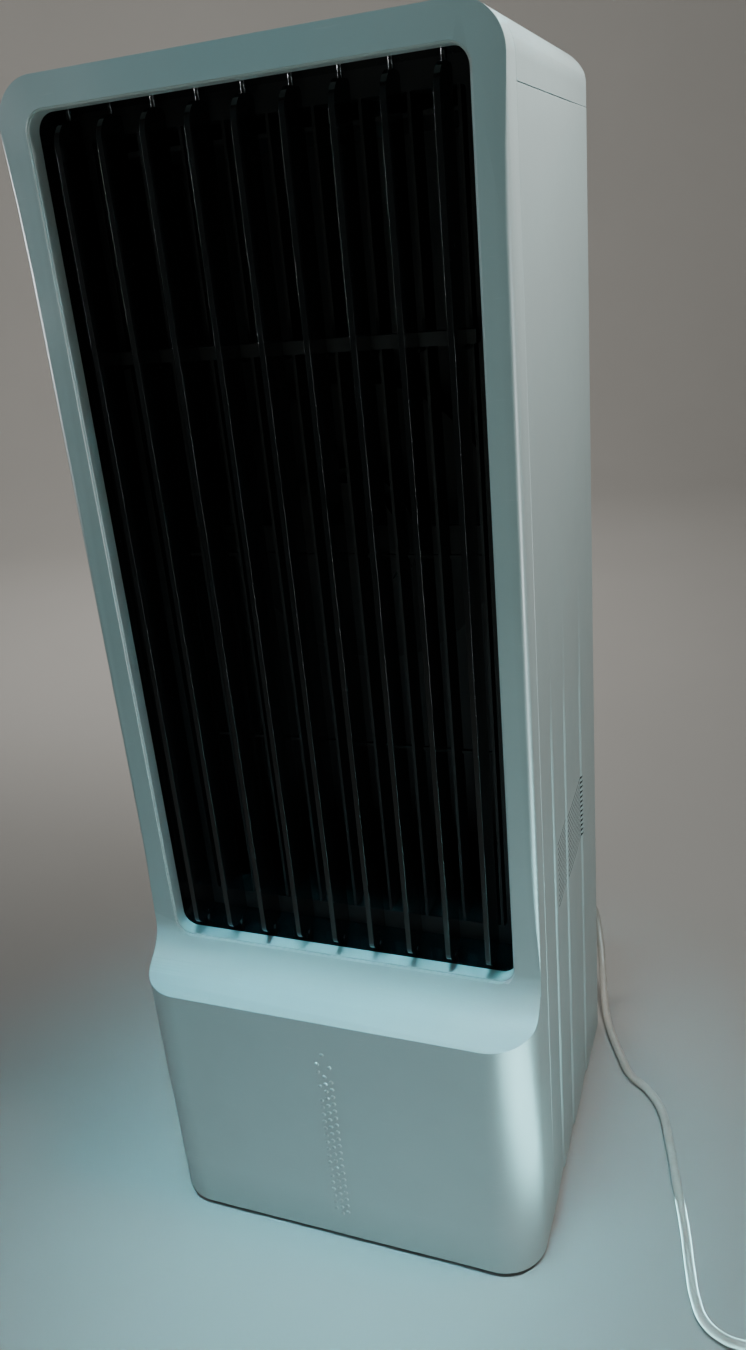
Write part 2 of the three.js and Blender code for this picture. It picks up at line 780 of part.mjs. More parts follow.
// Moving pieces
for (let i = 0; i < buttonCount; i += 1) {
  place(`button_${i + 1}`, button(i), plastic(0xd5dbdb, 0.4));
}
for (let i = 0; i < vaneCount; i += 1) {
  place(`vane_${i + 1}`, vane(i), blackGloss());
}
place("vane_link", linkBar(), blackMatt());
place("blower_wheel", blowerWheel(), blackMatt());
place("motor_shaft", rodY(shaftRadius, wheelFront - 4 + gap, wheelFront + 11, 0, fanZ, 16), metal());
place("rear_grille", rearGrille(), shellFinish());
place("dust_filter", block(-108, 108, rearY - 9, rearY - 7.5, grilleBottom + 3, grilleTop - 3), blackMatt());
place("water_tank", waterTank(), clearPlastic());
place("tank_latch", tankLatch(), shellFinish());
place("level_window", block(gaugeLeft + gap, gaugeRight - gap, rearY - 0.9, rearY - 0.2,
  gaugeBottom + gap, gaugeTop - gap), clearPlastic());
place("pump", pump(), blackMatt());
place("riser_pipe", riserPipe(), clearPlastic());

// Mains lead
const leadFinish = () => plastic(0xd8d4cc, 0.45);
place("power_cord", bar(leadRoute, leadDiameter / 2, 44, 8), leadFinish());
place("cord_coil", coilRing(), leadFinish());
place("plug", plug(), leadFinish());
place("plug_pin_1", plugPin(-1), metal());
place("plug_pin_2", plugPin(1), metal());

export default cooler;
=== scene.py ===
import math

import bmesh
import bpy
from mathutils import Matrix, Vector


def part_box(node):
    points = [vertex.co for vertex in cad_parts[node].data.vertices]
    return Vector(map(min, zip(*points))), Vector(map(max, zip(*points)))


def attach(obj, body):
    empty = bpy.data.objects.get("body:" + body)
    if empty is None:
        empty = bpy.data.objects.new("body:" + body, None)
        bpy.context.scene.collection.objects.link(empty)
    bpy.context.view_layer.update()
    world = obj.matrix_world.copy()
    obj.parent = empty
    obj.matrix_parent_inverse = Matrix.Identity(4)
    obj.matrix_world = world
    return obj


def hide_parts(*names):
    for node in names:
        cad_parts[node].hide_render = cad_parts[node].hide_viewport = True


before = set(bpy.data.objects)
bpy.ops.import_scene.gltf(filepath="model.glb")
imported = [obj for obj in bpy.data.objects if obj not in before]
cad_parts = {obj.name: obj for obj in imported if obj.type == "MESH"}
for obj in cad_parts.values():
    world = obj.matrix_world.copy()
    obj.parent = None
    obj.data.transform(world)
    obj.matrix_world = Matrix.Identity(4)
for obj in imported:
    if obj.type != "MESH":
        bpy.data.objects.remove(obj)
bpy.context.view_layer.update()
mm = 0.001


# Shader wiring: arithmetic on a wire adds Math nodes

class Wire:
    def __init__(self, finish, socket):
        self.finish = finish
        self.socket = socket

    def maths(self, operation, first, second):
        return self.finish.node("ShaderNodeMath", {"operation": operation}, {0: first, 1: second})

    def __add__(self, other):
        return self.maths("ADD", self, other)

    def __radd__(self, other):
        return self.maths("ADD", other, self)

    def __sub__(self, other):
        return self.maths("SUBTRACT", self, other)

    def __rsub__(self, other):
        return self.maths("SUBTRACT", other, self)

    def __mul__(self, other):
        return self.maths("MULTIPLY", self, other)

    def __rmul__(self, other):
        return self.maths("MULTIPLY", other, self)


class Finish:
    def __init__(self, name, **fixed):
        self.material = bpy.data.materials.new(name)
        self.material.use_nodes = True
        self.tree = self.material.node_tree
        self.shader = self.tree.nodes["Principled BSDF"]
        self.place = self.node("ShaderNodeTexCoord", output="Object")
        self.feedShader({key.replace("_", " "): value for key, value in fixed.items()})

    def feed(self, socket, value):
        if isinstance(value, Wire):
            self.tree.links.new(value.socket, socket)
        else:
            socket.default_value = value

    def node(self, kind, settings=None, inputs=None, output=0):
        made = self.tree.nodes.new(kind)
        for key, value in (settings or {}).items():
            if key == "stops":
                for stop, (position, shade) in zip(made.color_ramp.elements, value):
                    stop.position = position
                    stop.color = (shade, shade, shade, 1)
            else:
                setattr(made, key, value)
        for key, value in (inputs or {}).items():
            self.feed(made.inputs[key], value)
        return Wire(self, made.outputs[output])

    def feedShader(self, values):
        for key, value in values.items():
            self.feed(self.shader.inputs[key], value)

    def noise(self, scale, detail=3.0, roughness=0.5, stretch=None):
        where = self.place
        if stretch:
            where = self.node("ShaderNodeMapping", {}, {"Vector": where, "Scale": stretch})
        inputs = {"Vector": where, "Scale": scale, "Detail": detail, "Roughness": roughness}
        return self.node("ShaderNodeTexNoise", {}, inputs)

    def ramp(self, value, low, high):
        return self.node("ShaderNodeValToRGB", {"stops": [(low, 0), (high, 1)]}, {0: value})

    def mix(self, amount, first, second):
        settings = {"data_type": "RGBA", "clamp_factor": True}
        return self.node("ShaderNodeMix", settings, {0: amount, 6: first, 7: second}, output=2)

    def height(self):
        return self.node("ShaderNodeSeparateXYZ", {}, {0: self.place}, output="Z")

    def edges(self):
        pointed = self.node("ShaderNodeNewGeometry", output="Pointiness")
        return self.ramp(pointed, 0.51, 0.6)

    def bump(self, value, strength, distance):
        inputs = {"Height": value, "Strength": strength, "Distance": distance}
        self.feedShader({"Normal": self.node("ShaderNodeBump", {}, inputs)})


def shade(colour, factor):
    return (colour[0] * factor, colour[1] * factor, colour[2] * factor, 1)


shellLook = {
    "colour": (0.50, 0.60, 0.60),
    "roughness": 0.34,
    "grainScale": 1500,
    "grainDepth": 0.00012,
    # height of the painted shade: how far up from the floor the shell is darkened
    "floorShadeHeight": 0.05,
}


def shellPlastic():
    look = shellLook
    finish = Finish("shellPlastic", Specular_IOR_Level=0.5)
    mottle = finish.noise(5, 4)
    smudge = finish.ramp(finish.noise(16, 5, 0.6), 0.42, 0.68)
    scratch = finish.ramp(finish.noise(60, 2, 0.5, stretch=(1.0, 1.0, 14.0)), 0.70, 0.74)
    # painted shade: the shell turns darker towards the floor over its lowest few centimetres
    low = finish.ramp(finish.height() + 0.02 * mottle, 0.0, look["floorShadeHeight"])
    plain = finish.mix(mottle, shade(look["colour"], 0.95), shade(look["colour"], 1.05))
    # painted highlight: convex edges mixed towards a lighter copy of the shell colour
    edgeHighlighted = finish.mix(0.3 * finish.edges(), plain, shade(look["colour"], 1.3))
    # painted shade near the floor, mixed with a little real smudging
    floorShadedSmudged = finish.mix(0.35 * (1 - low) + 0.05 * smudge, edgeHighlighted, (0.20, 0.22, 0.20, 1))
    finish.feedShader({
        "Base Color": finish.mix(0.12 * scratch, floorShadedSmudged, (0.8, 0.85, 0.85, 1)),
        "Roughness": look["roughness"] + 0.10 * smudge + 0.06 * mottle + 0.08 * scratch,
    })
    finish.bump(finish.noise(look["grainScale"], 2) - 0.4 * scratch, 0.35, look["grainDepth"])
    return finish.material


blackLook = {"colour": (0.0045, 0.005, 0.0055), "gloss": 0.12, "matt": 0.5}


def blackGloss():
    finish = Finish("blackGloss", Specular_IOR_Level=0.55)
    dust = finish.ramp(finish.noise(420, 4, 0.7), 0.64, 0.80)
    film = finish.noise(9, 4)
    colour = blackLook["colour"]
    finish.feedShader({
        "Base Color": finish.mix(0.08 * dust + 0.02 * film, shade(colour, 1), (0.16, 0.18, 0.18, 1)),
        "Roughness": blackLook["gloss"] + 0.08 * film + 0.3 * dust,
        "Coat Weight": 0.35 - 0.3 * dust,
    })
    finish.bump(finish.noise(260, 3), 0.10, 0.0001)
    return finish.material


def blackMatt():
    finish = Finish("blackMatt")
    dust = finish.ramp(finish.noise(240, 5, 0.65), 0.50, 0.75)
    colour = blackLook["colour"]
    finish.feedShader({
        "Base Color": finish.mix(0.05 * dust, shade(colour, 1.4), (0.16, 0.17, 0.17, 1)),
        "Roughness": blackLook["matt"] + 0.2 * dust + 0.1 * finish.noise(12),
    })
    finish.bump(finish.noise(1400, 2), 0.4, 0.00012)
    return finish.material


def greyPlastic():
    finish = Finish("chassisGrey")
    mottle = finish.noise(9, 5)
    finish.feedShader({
        "Base Color": finish.mix(mottle, (0.030, 0.032, 0.034, 1), (0.05, 0.053, 0.056, 1)),
        "Roughness": 0.5 + 0.2 * mottle,
    })
    finish.bump(finish.noise(1100, 2), 0.4, 0.00015)
    return finish.material


def clearPlastic():
    finish = Finish("clearPlastic", IOR=1.49, Transmission_Weight=0.55)
    haze = finish.noise(22, 5, 0.6)
    scale = finish.ramp(finish.noise(90, 4, 0.7), 0.55, 0.75)
    finish.feedShader({
        "Base Color": finish.mix(0.5 * scale, (0.50, 0.62, 0.66, 1), (0.78, 0.82, 0.82, 1)),
        "Roughness": 0.12 + 0.2 * haze + 0.25 * scale,
    })
    finish.bump(finish.noise(60, 3), 0.15, 0.0003)
    return finish.material


def keyPlastic():
    finish = Finish("keyPlastic")
    smudge = finish.ramp(finish.noise(160, 5, 0.6), 0.4, 0.7)
    finish.feedShader({
        "Base Color": finish.mix(smudge, (0.60, 0.64, 0.64, 1), (0.53, 0.57, 0.57, 1)),
        "Roughness": 0.22 + 0.18 * smudge,
    })
    finish.bump(finish.noise(1800, 2), 0.2, 0.00006)
    return finish.material


def boardGreen():
    finish = Finish("boardGreen")
    tracks = finish.node("ShaderNodeTexBrick", {"offset": 0.5}, {
        "Vector": finish.place, "Scale": 260.0, "Mortar Size": 0.03,
        "Color1": (0.01, 0.06, 0.025, 1), "Color2": (0.012, 0.075, 0.03, 1),
        "Mortar": (0.05, 0.16, 0.07, 1),
    })
    finish.feedShader({"Base Color": tracks, "Roughness": 0.25 + 0.2 * finish.noise(40)})
    finish.bump(finish.noise(500, 2), 0.3, 0.0001)
    return finish.material


def padPaper():
    finish = Finish("padPaper")
    waves = finish.node("ShaderNodeTexWave", {"bands_direction": "Z"}, {
        "Vector": finish.place, "Scale": 45.0, "Distortion": 1.5, "Detail": 2.0,
    }, output="Fac")
    stain = finish.noise(18, 5, 0.65)
    finish.feedShader({
        "Base Color": finish.mix(stain, (0.10, 0.055, 0.022, 1), (0.20, 0.13, 0.06, 1)),
        "Roughness": 0.85 + 0.1 * stain,
    })
    finish.bump(waves + 0.3 * finish.noise(500), 0.9, 0.0015)
    return finish.material


def platedSteel():
    finish = Finish("platedSteel")
    brush = finish.noise(900, 2, 0.5, stretch=(1.0, 12.0, 1.0))
    bloom = finish.ramp(finish.noise(45, 5, 0.6), 0.45, 0.75)
    finish.feedShader({
        "Base Color": finish.mix(bloom, (0.60, 0.61, 0.62, 1), (0.42, 0.43, 0.42, 1)),
        "Metallic": 1.0 - 0.25 * bloom,
        "Roughness": 0.22 + 0.12 * brush + 0.2 * bloom,
    })
    finish.bump(brush, 0.15, 0.00005)
    return finish.material


def darkSteel():
    finish = Finish("darkSteel")
    bloom = finish.ramp(finish.noise(45, 5, 0.6), 0.45, 0.75)
    finish.feedShader({
        "Base Color": finish.mix(bloom, (0.018, 0.019, 0.02, 1), (0.035, 0.034, 0.032, 1)),
        "Metallic": 0.6 - 0.3 * bloom,
        "Roughness": 0.42 + 0.2 * bloom,
    })
    finish.bump(finish.noise(900, 2), 0.2, 0.0001)
    return finish.material


def softRubber():
    finish = Finish("softRubber")
    bloom = finish.ramp(finish.noise(140, 5, 0.65), 0.45, 0.75)
    finish.feedShader({
        "Base Color": finish.mix(0.35 * bloom, (0.012, 0.012, 0.012, 1), (0.09, 0.09, 0.085, 1)),
        "Roughness": 0.7 + 0.2 * bloom,
    })
    finish.bump(finish.noise(1500, 2), 0.5, 0.0001)
    return finish.material


def leadSheath():
    finish = Finish("leadSheath", Specular_IOR_Level=0.45)
    grime = finish.ramp(finish.noise(55, 5, 0.65), 0.40, 0.72)
    finish.feedShader({
        "Base Color": finish.mix(0.6 * grime, (0.60, 0.57, 0.52, 1), (0.42, 0.38, 0.33, 1)),
        "Roughness": 0.36 + 0.18 * grime,
    })
    finish.bump(finish.noise(1300, 2) + 0.5 * finish.noise(180), 0.25, 0.00012)
    return finish.material


def filterMesh():
    finish = Finish("filterMesh", Specular_IOR_Level=0.02)
    upright = finish.node("ShaderNodeMapping", {}, {"Vector": finish.place, "Rotation": (math.pi / 2, 0, 0)})
    lattice = finish.node("ShaderNodeTexBrick", {"offset": 0.0}, {
        "Vector": upright,
        "Scale": 380.0, "Mortar Size": 0.035, "Brick Width": 0.5, "Row Height": 0.5,
        "Color1": (0, 0, 0, 1), "Color2": (0, 0, 0, 1), "Mortar": (1, 1, 1, 1),
    }, output="Fac")
    lint = finish.ramp(finish.noise(60, 5, 0.7), 0.5, 0.75)
    dusty = 0.5 * lattice + 0.25 * lint
    finish.feedShader({
        "Base Color": finish.mix(dusty, (0.006, 0.006, 0.007, 1), (0.10, 0.105, 0.11, 1)),
        "Roughness": 0.6 + 0.2 * lint,
    })
    finish.bump(lattice, 0.8, 0.0003)
    return finish.material


def strapWeave():
    finish = Finish("strapWeave")
    weave = finish.node("ShaderNodeTexWave", {"bands_direction": "DIAGONAL"}, {
        "Vector": finish.place, "Scale": 620.0, "Distortion": 2.0, "Detail": 2.0,
    }, output="Fac")
    lint = finish.ramp(finish.noise(120, 5, 0.7), 0.5, 0.75)
    finish.feedShader({
        "Base Color": finish.mix(0.5 * lint, (0.012, 0.012, 0.013, 1), (0.10, 0.10, 0.10, 1)),
        "Roughness": 0.8 + 0.1 * lint,
    })
    finish.bump(weave, 0.6, 0.0002)
    return finish.material


def printInk():
    finish = Finish("printInk")
    wear = finish.ramp(finish.noise(900, 4, 0.7), 0.55, 0.75)
    finish.feedShader({
        "Base Color": finish.mix(wear, (0.62, 0.66, 0.66, 1), (0.35, 0.38, 0.38, 1)),
        "Roughness": 0.45 + 0.2 * wear,
    })
    finish.bump(wear, 0.2, 0.00003)
    return finish.material


looks = {
    "shell": shellPlastic(), "gloss": blackGloss(), "matt": blackMatt(), "grey": greyPlastic(),
    "clear": clearPlastic(), "key": keyPlastic(), "board": boardGreen(), "pad": padPaper(),
    "steel": platedSteel(), "rubber": softRubber(), "lead": leadSheath(), "filter": filterMesh(),
    "ink": printInk(), "darkSteel": darkSteel(), "strap": strapWeave(),
}
print("finishes made:", len(looks))


# Solids: outlines are lists of (a, b) points; prisms run along an axis

axisOrder = {"x": (2, 0, 1), "y": (0, 2, 1), "z": (0, 1, 2)}


def arc(centreA, centreB, radius, start, end, steps):
    points = []
    for i in range(steps + 1):
        angle = math.radians(start + (end - start) * i / steps)
        points.append((centreA + radius * math.cos(angle), centreB + radius * math.sin(angle)))
    return points


# Corners run counter-clockwise from the low corner; one radius or four
def roundedRect(a0, a1, b0, b1, radii, steps=10):
    r = radii if isinstance(radii, (list, tuple)) else [radii] * 4
    corners = [
        (a0 + r[0], b0 + r[0], r[0], 180), (a1 - r[1], b0 + r[1], r[1], 270),
        (a1 - r[2], b1 - r[2], r[2], 0), (a0 + r[3], b1 - r[3], r[3], 90),
    ]
    points = []
    for a, b, radius, start in corners:
        points += arc(a, b, radius, start, start + 90, steps) if radius > 0 else [(a, b)]
    return points


# Rings of points, one per station along the axis, closed at both ends
def loft(name, stations, axis):
    order = axisOrder[axis]
    shape = bmesh.new()
    rings = []
    for outline, along in stations:
        ring = []
        for a, b in outline:
            values = (a, b, along)
            ring.append(shape.verts.new((values[order[0]], values[order[1]], values[order[2]])))
        rings.append(ring)
    count = len(rings[0])
    for first, second in zip(rings, rings[1:]):
        for i in range(count):
            j = (i + 1) % count
            shape.faces.new((first[i], first[j], second[j], second[i]))
    shape.faces.new(rings[0])
    shape.faces.new(rings[-1])
    bmesh.ops.recalc_face_normals(shape, faces=shape.faces)
    return emit(name, shape)


def emit(name, shape):
    mesh = bpy.data.meshes.new(name)
    shape.to_mesh(mesh)
    shape.free()
    made = bpy.data.objects.new(name, mesh)
    bpy.context.scene.collection.objects.link(made)
    return made


def prism(name, outline, axis, low, high):
    return loft(name, [(outline, low), (outline, high)], axis)


def block(name, x0, x1, y0, y1, z0, z1):
    return prism(name, [(x0, y0), (x1, y0), (x1, y1), (x0, y1)], "z", z0, z1)


def disc(name, radius, axis, a, b, low, high, steps=48):
    outline = arc(a, b, radius, 0, 360, steps)[:-1]
    return prism(name, outline, axis, low, high)


# Turned piece: profile of (radius, along) about an axis through a point
def turned(name, profile, axis, centre, steps=48):
    stations = [([(radius * math.cos(2 * math.pi * i / steps), radius * math.sin(2 * math.pi * i / steps))
                  for i in range(steps)], along) for radius, along in profile]
    made = loft(name, stations, axis)
    made.data.transform(Matrix.Translation(Vector(centre)))
    return made


def bake(made):
    bpy.context.view_layer.update()
    graph = bpy.context.evaluated_depsgraph_get()
    result = bpy.data.meshes.new_from_object(made.evaluated_get(graph))
    made.modifiers.clear()
    made.data = result
    return made


def carve(target, tools, operation="DIFFERENCE"):
    for tool in tools:
        change = target.modifiers.new("carve", "BOOLEAN")
        change.operation = operation
        change.solver = "EXACT"
        change.object = tool
    bake(target)
    for tool in tools:
        bpy.data.objects.remove(tool)
    return target


def joined(name, pieces):
    shape = bmesh.new()
    for piece in pieces:
        shape.from_mesh(piece.data)
        bpy.data.objects.remove(piece)
    return emit(name, shape)


def soften(made, width, steps=3, angle=32, smooth=40):
    shape = bmesh.new()
    shape.from_mesh(made.data)
    bmesh.ops.remove_doubles(shape, verts=shape.verts, dist=0.01 * mm)
    bmesh.ops.dissolve_degenerate(shape, edges=shape.edges, dist=0.01 * mm)
    shape.to_mesh(made.data)
    shape.free()
    if width:
        bevel = made.modifiers.new("soften", "BEVEL")
        bevel.width = width
        bevel.segments = steps
        bevel.limit_method = "ANGLE"
        bevel.angle_limit = math.radians(angle)
        bevel.harden_normals = False
        bake(made)
    made.data.shade_smooth()
    made.data.set_sharp_from_angle(angle=math.radians(smooth))
    weigh = made.modifiers.new("weigh", "WEIGHTED_NORMAL")
    weigh.keep_sharp = True
    return made


def finishPiece(made, look, body="cabinet", replaces=()):
    made.data.materials.clear()
    made.data.materials.append(looks[look])
    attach(made, body)
    if replaces:
        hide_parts(*replaces)
    return made


# A finer copy of a CAD piece, with its edges rounded over
def refine(node, look, body, width, steps=2, angle=40):
    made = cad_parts[node].copy()
    made.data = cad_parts[node].data.copy()
    made.name = node + "_fine"
    made.parent = None
    for key in list(made.keys()):
        del made[key]
    bpy.context.scene.collection.objects.link(made)
    shape = bmesh.new()
    shape.from_mesh(made.data)
    bmesh.ops.remove_doubles(shape, verts=shape.verts, dist=0.01 * mm)
    flat = math.radians(1.0)
    bmesh.ops.dissolve_limit(shape, angle_limit=flat, verts=shape.verts, edges=shape.edges)
    shape.to_mesh(made.data)
    shape.free()
    soften(made, width, steps, angle)
    return finishPiece(made, look, body, [node])


# Camera

cameraView = {
    "place": (0.24678, -0.60185, 0.63197),
    "turn": 22.77,   # degrees to the right of the front
    "tilt": 22.10,   # degrees down
    "roll": -5.98,
    "lens": 28.58,
    "shift": (0.0159, -0.0040),
}


def makeCamera():
    data = bpy.data.cameras.new("camera")
    data.sensor_width = 36
    data.lens = cameraView["lens"]
    data.shift_x, data.shift_y = cameraView["shift"]
    data.clip_start = 0.01
    camera = bpy.data.objects.new("camera", data)
    turn = Matrix.Rotation(math.radians(cameraView["turn"]), 4, "Z")
    tilt = Matrix.Rotation(math.radians(90 - cameraView["tilt"]), 4, "X")
    roll = Matrix.Rotation(math.radians(cameraView["roll"]), 4, "Z")
    camera.matrix_world = Matrix.Translation(Vector(cameraView["place"])) @ turn @ tilt @ roll
    bpy.context.scene.collection.objects.link(camera)
    bpy.context.scene.camera = camera


makeCamera()
print("camera placed")


# Mains lead: hangs from the relief behind the rear corner, runs forward on the floor, then coils

lead = {
    "diameter": 6.2 * mm,
    "length": 1.66,
    "route": [
        (118.5, 152.1, 92), (118.5, 159, 91.3), (119, 167, 88), (120, 174, 82), (121.5, 178.5, 74),
        (123, 180.5, 64), (125, 179, 50), (127.5, 173.5, 34), (130, 163.5, 20.5), (133, 150, 10.5),
        (137, 134, 5.2), (142.5, 117, 3.3), (149, 101, 3.3), (156, 86, 3.3),
        (165, 68.5, 3.3), (179, 56.5, 3.3), (190.5, 40, 3.3), (199, 12, 3.3),
        (208, -27, 3.3), (216.3, -63, 3.3), (222.2, -94, 3.3), (226.5, -112, 3.3), (233, -125.5, 3.3),
        (244, -132.8, 3.3), (257, -134.2, 3.3), (275, -134.2, 3.3), (292, -134.2, 3.3),
    ],
    "coilCentre": (316, -90.9),
    "coilRadius": 43.3,
    "turnsIn": 2.5,
    "turnsUp": 0.5,
    "turnsOut": 2.25,
    "pointsPerTurn": 18,
    "plug": (359, -66, 7.3),
}


# Spirals in on the floor, climbs by a diameter, then spirals out on top
def coilTrack(turns):
    pitch = lead["diameter"] / mm
    inner = lead["coilRadius"] - pitch * lead["turnsIn"]
    climb = min(1.0, max(0.0, (turns - lead["turnsIn"]) / lead["turnsUp"]))
    outward = turns - lead["turnsIn"] - lead["turnsUp"]
    radius = inner + pitch * outward if outward > 0 else max(inner, lead["coilRadius"] - pitch * turns)
    return radius, lead["route"][-1][2] + pitch * climb * climb * (3 - 2 * climb)


def leadPoints():
    points = list(lead["route"])
    centreX, centreY = lead["coilCentre"]
    coilTurns = lead["turnsIn"] + lead["turnsUp"] + lead["turnsOut"]
    steps = round(coilTurns * lead["pointsPerTurn"])
    for i in range(steps + 1):
        turns = coilTurns * i / steps
        radius, height = coilTrack(turns)
        angle = -math.pi / 2 + 2 * math.pi * turns
        points.append((centreX + radius * math.cos(angle), centreY + radius * math.sin(angle), height))
    plugX, plugY, plugZ = lead["plug"]
    points.append((plugX - 0.2, plugY - 13, plugZ + 1))
    points.append((plugX, plugY - 0.6, plugZ))
    return [Vector(point) * mm for point in points]


def makeLead():
    points = leadPoints()
    curve = bpy.data.curves.new("mains_lead", "CURVE")
    curve.dimensions = "3D"
    curve.bevel_depth = lead["diameter"] / 2
    curve.bevel_resolution = 6
    curve.resolution_u = 8
    curve.use_fill_caps = True
    spline = curve.splines.new("BEZIER")
    spline.bezier_points.add(len(points) - 1)
    for handle, point in zip(spline.bezier_points, points):
        handle.co = point
        handle.handle_left_type = "AUTO"
        handle.handle_right_type = "AUTO"
    made = bpy.data.objects.new("mains_lead", curve)
    bpy.context.scene.collection.objects.link(made)
    return finishPiece(made, "lead", "cabinet", ["power_cord", "cord_coil"])


# Moulded relief with ribs that thin towards the lead
def makeRelief():
    low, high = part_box("cord_gland")
    centreX = (low.x + high.x) / 2
    centreZ = (low.z + high.z) / 2
    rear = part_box("right_side_panel")[1].y
    end = high.y
    profile = [(0.001 * mm, low.y), (7 * mm, low.y), (7 * mm, rear - 3.2 * mm), (5.4 * mm, rear - 3.1 * mm),
               (5.4 * mm, rear + 0.3 * mm), (6.4 * mm, rear + 0.3 * mm), (6.9 * mm, rear + 0.9 * mm),
               (6.7 * mm, rear + 2.6 * mm), (5.6 * mm, rear + 3.2 * mm)]
    ribs = 7
    start = rear + 3.4 * mm
    for i in range(ribs):
        t = i / ribs
        outer = (5.6 - 1.7 * t) * mm
        at = start + (end - start) * t
        step = (end - start) / ribs
        profile += [(outer - 1.0 * mm, at), (outer - 1.0 * mm, at + 0.3 * step),
                    (outer, at + 0.42 * step), (outer - 0.1 * mm, at + 0.92 * step)]
    profile += [(3.6 * mm, end), (0.001 * mm, end)]
    made = turned("strain_relief", profile, "y", (centreX, 0, centreZ), 40)
    soften(made, 0, smooth=50)
    return finishPiece(made, "rubber", "cabinet", ["cord_gland"])


plugShape = {"wide": 35, "thick": 14, "boot": 26, "body": 34, "pin": 19, "pinRadius": 2, "pinHalfPitch": 9.3}


def makePlug():
    shape = plugShape
    x, y, z = lead["plug"]
    start = y + shape["boot"]
    half = shape["wide"] / 2
    thick = shape["thick"] / 2
    stations = [(-2, 6.5, 5.6), (1, 7.5, 6.2), (6, 12, 6.7)]
    stations += [(along, half, thick) for along in (12, 17, 22)]
    stations += [(28, 15.5, 6.8), (shape["body"] - 1.2, 13.4, 6.5), (shape["body"], 12.2, 5.6)]
    rings = []
    for along, wide, tall in stations:
        outline = roundedRect(-wide, wide, -tall, tall, min(wide, tall) * 0.72, 8)
        rings.append(([((x + a) * mm, (z + b) * mm) for a, b in outline], (start + along) * mm))
    body = loft("plug_body", rings, "y")
    profile = [(0.001 * mm, y * mm), (3.7 * mm, y * mm)]
    ribs = 6
    for i in range(ribs):
        t = i / ribs
        at = y + 1 + (shape["boot"] - 3) * t
        step = (shape["boot"] - 3) / ribs
        outer = 3.9 + 2.0 * t
        profile += [(outer * mm, at * mm), (outer * mm, (at + 0.55 * step) * mm),
                    ((outer - 0.7) * mm, (at + 0.62 * step) * mm),
                    ((outer - 0.6) * mm, (at + 0.95 * step) * mm)]
    profile += [(6.0 * mm, (start - 1.5) * mm), (6.0 * mm, (start + 3) * mm), (0.001 * mm, (start + 3) * mm)]
    boot = turned("plug_boot", profile, "y", (x * mm, 0, z * mm), 32)
    made = joined("plug_moulding", [body, boot])
    soften(made, 0, smooth=38)
    finishPiece(made, "lead", "cabinet", ["plug"])
    pins = []
    for side in (-1, 1):
        tip = start + shape["body"] + shape["pin"] + 0.3
        root = start + shape["body"] + 0.3
        r = shape["pinRadius"]
        outline = [(0.001, root), (r, root), (r, tip - 1.6), (0.9 * r, tip - 0.8), (0.6 * r, tip - 0.2),
                   (0.001, tip)]
        centre = ((x + side * shape["pinHalfPitch"]) * mm, 0, z * mm)
        pin = turned("pin", [(a * mm, b * mm) for a, b in outline], "y", centre, 28)
        number = 1 if side < 0 else 2
        pin.name = f"plug_pin_fine_{number}"
        soften(pin, 0, smooth=40)
        pins.append(finishPiece(pin, "steel", "cabinet", [f"plug_pin_{number}"]))
    return made, pins


# Hook-and-loop strap round the coil's section, its loose end lying on top
tie = {"inner": 24.3, "outer": 42.2, "top": 12.8, "bottom": 0.19, "thick": 0.9, "wide": 10, "tail": 7}


def makeTie():
    centreX, centreY = lead["coilCentre"]
    thick = tie["thick"]
    start, end = (centreX - tie["outer"]), (centreX - tie["inner"])
    low, high = (centreY - tie["wide"] / 2) * mm, (centreY + tie["wide"] / 2) * mm
    outside = roundedRect(start - thick, end + thick, 0.02, tie["top"] + thick, [1.5, 1.5, 3.4, 3.4], 6)
    inside = roundedRect(start, end, tie["bottom"], tie["top"], [1.0, 1.0, 2.5, 2.5], 6)
    strap = prism("cord_tie", [(a * mm, b * mm) for a, b in outside], "y", low, high)
    carve(strap, [prism("inside", [(a * mm, b * mm) for a, b in inside], "y", low - mm, high + mm)])
    tail = roundedRect(start + 3, end + tie["tail"], -tie["wide"] / 2, tie["wide"] / 2, [0.4, 4, 4, 0.4], 8)
    flap = prism("flap", [(a * mm, (centreY + b) * mm) for a, b in tail], "z",
                 (tie["top"] + thick + 0.02) * mm, (tie["top"] + 2 * thick) * mm)
    made = joined("cord_tie", [strap, flap])
    soften(made, 0.2 * mm, 2, 50, 45)
    return finishPiece(made, "strap", "cabinet")


mainsLead = makeLead()
coilTie = makeTie()
relief = makeRelief()
plugMoulding, plugPins = makePlug()
[relief, plugMoulding, coilTie] + plugPins
print("mains lead made")


# Cabinet shells

cabinet = {
    "wall": 2.8 * mm, "corner": 29 * mm, "top": 23 * mm, "rearCorner": 8 * mm, "rearTop": 25 * mm,
    "face": -88.5 * mm, "lip": 183 * mm, "shelfAngle": math.radians(10), "shelfRadius": 26 * mm,
    "sideSeam": -70.5 * mm, "topSeam": 687 * mm, "gap": 0.3 * mm, "return": 20 * mm,
    "edge": 0.9 * mm, "smooth": 22,
}
windowCut = {
    "half": 116.4 * mm, "low": 203.8 * mm, "high": 704.2 * mm, "radius": 11 * mm,
    "chamfer": 1.2 * mm, "returnDeep": 10 * mm, "returnThick": 0.9 * mm,
}
# The outer edge beside the outlet is rounded, except near its ends
sideEdge = {"radius": 3.8 * mm, "low": 218 * mm, "high": 696 * mm, "run": 70 * mm}

shellLow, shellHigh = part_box("front_shell")
halfWidth = shellHigh.x
frontY = shellLow.y
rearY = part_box("right_side_panel")[1].y
bottomZ = shellLow.z
topZ = shellHigh.z


def windowOutline(grow=0.0, steps=14):
    half = windowCut["half"] + grow
    radius = max(windowCut["radius"] + grow, 2 * mm)
    return roundedRect(-half, half, windowCut["low"] - grow, windowCut["high"] + grow, radius, steps)


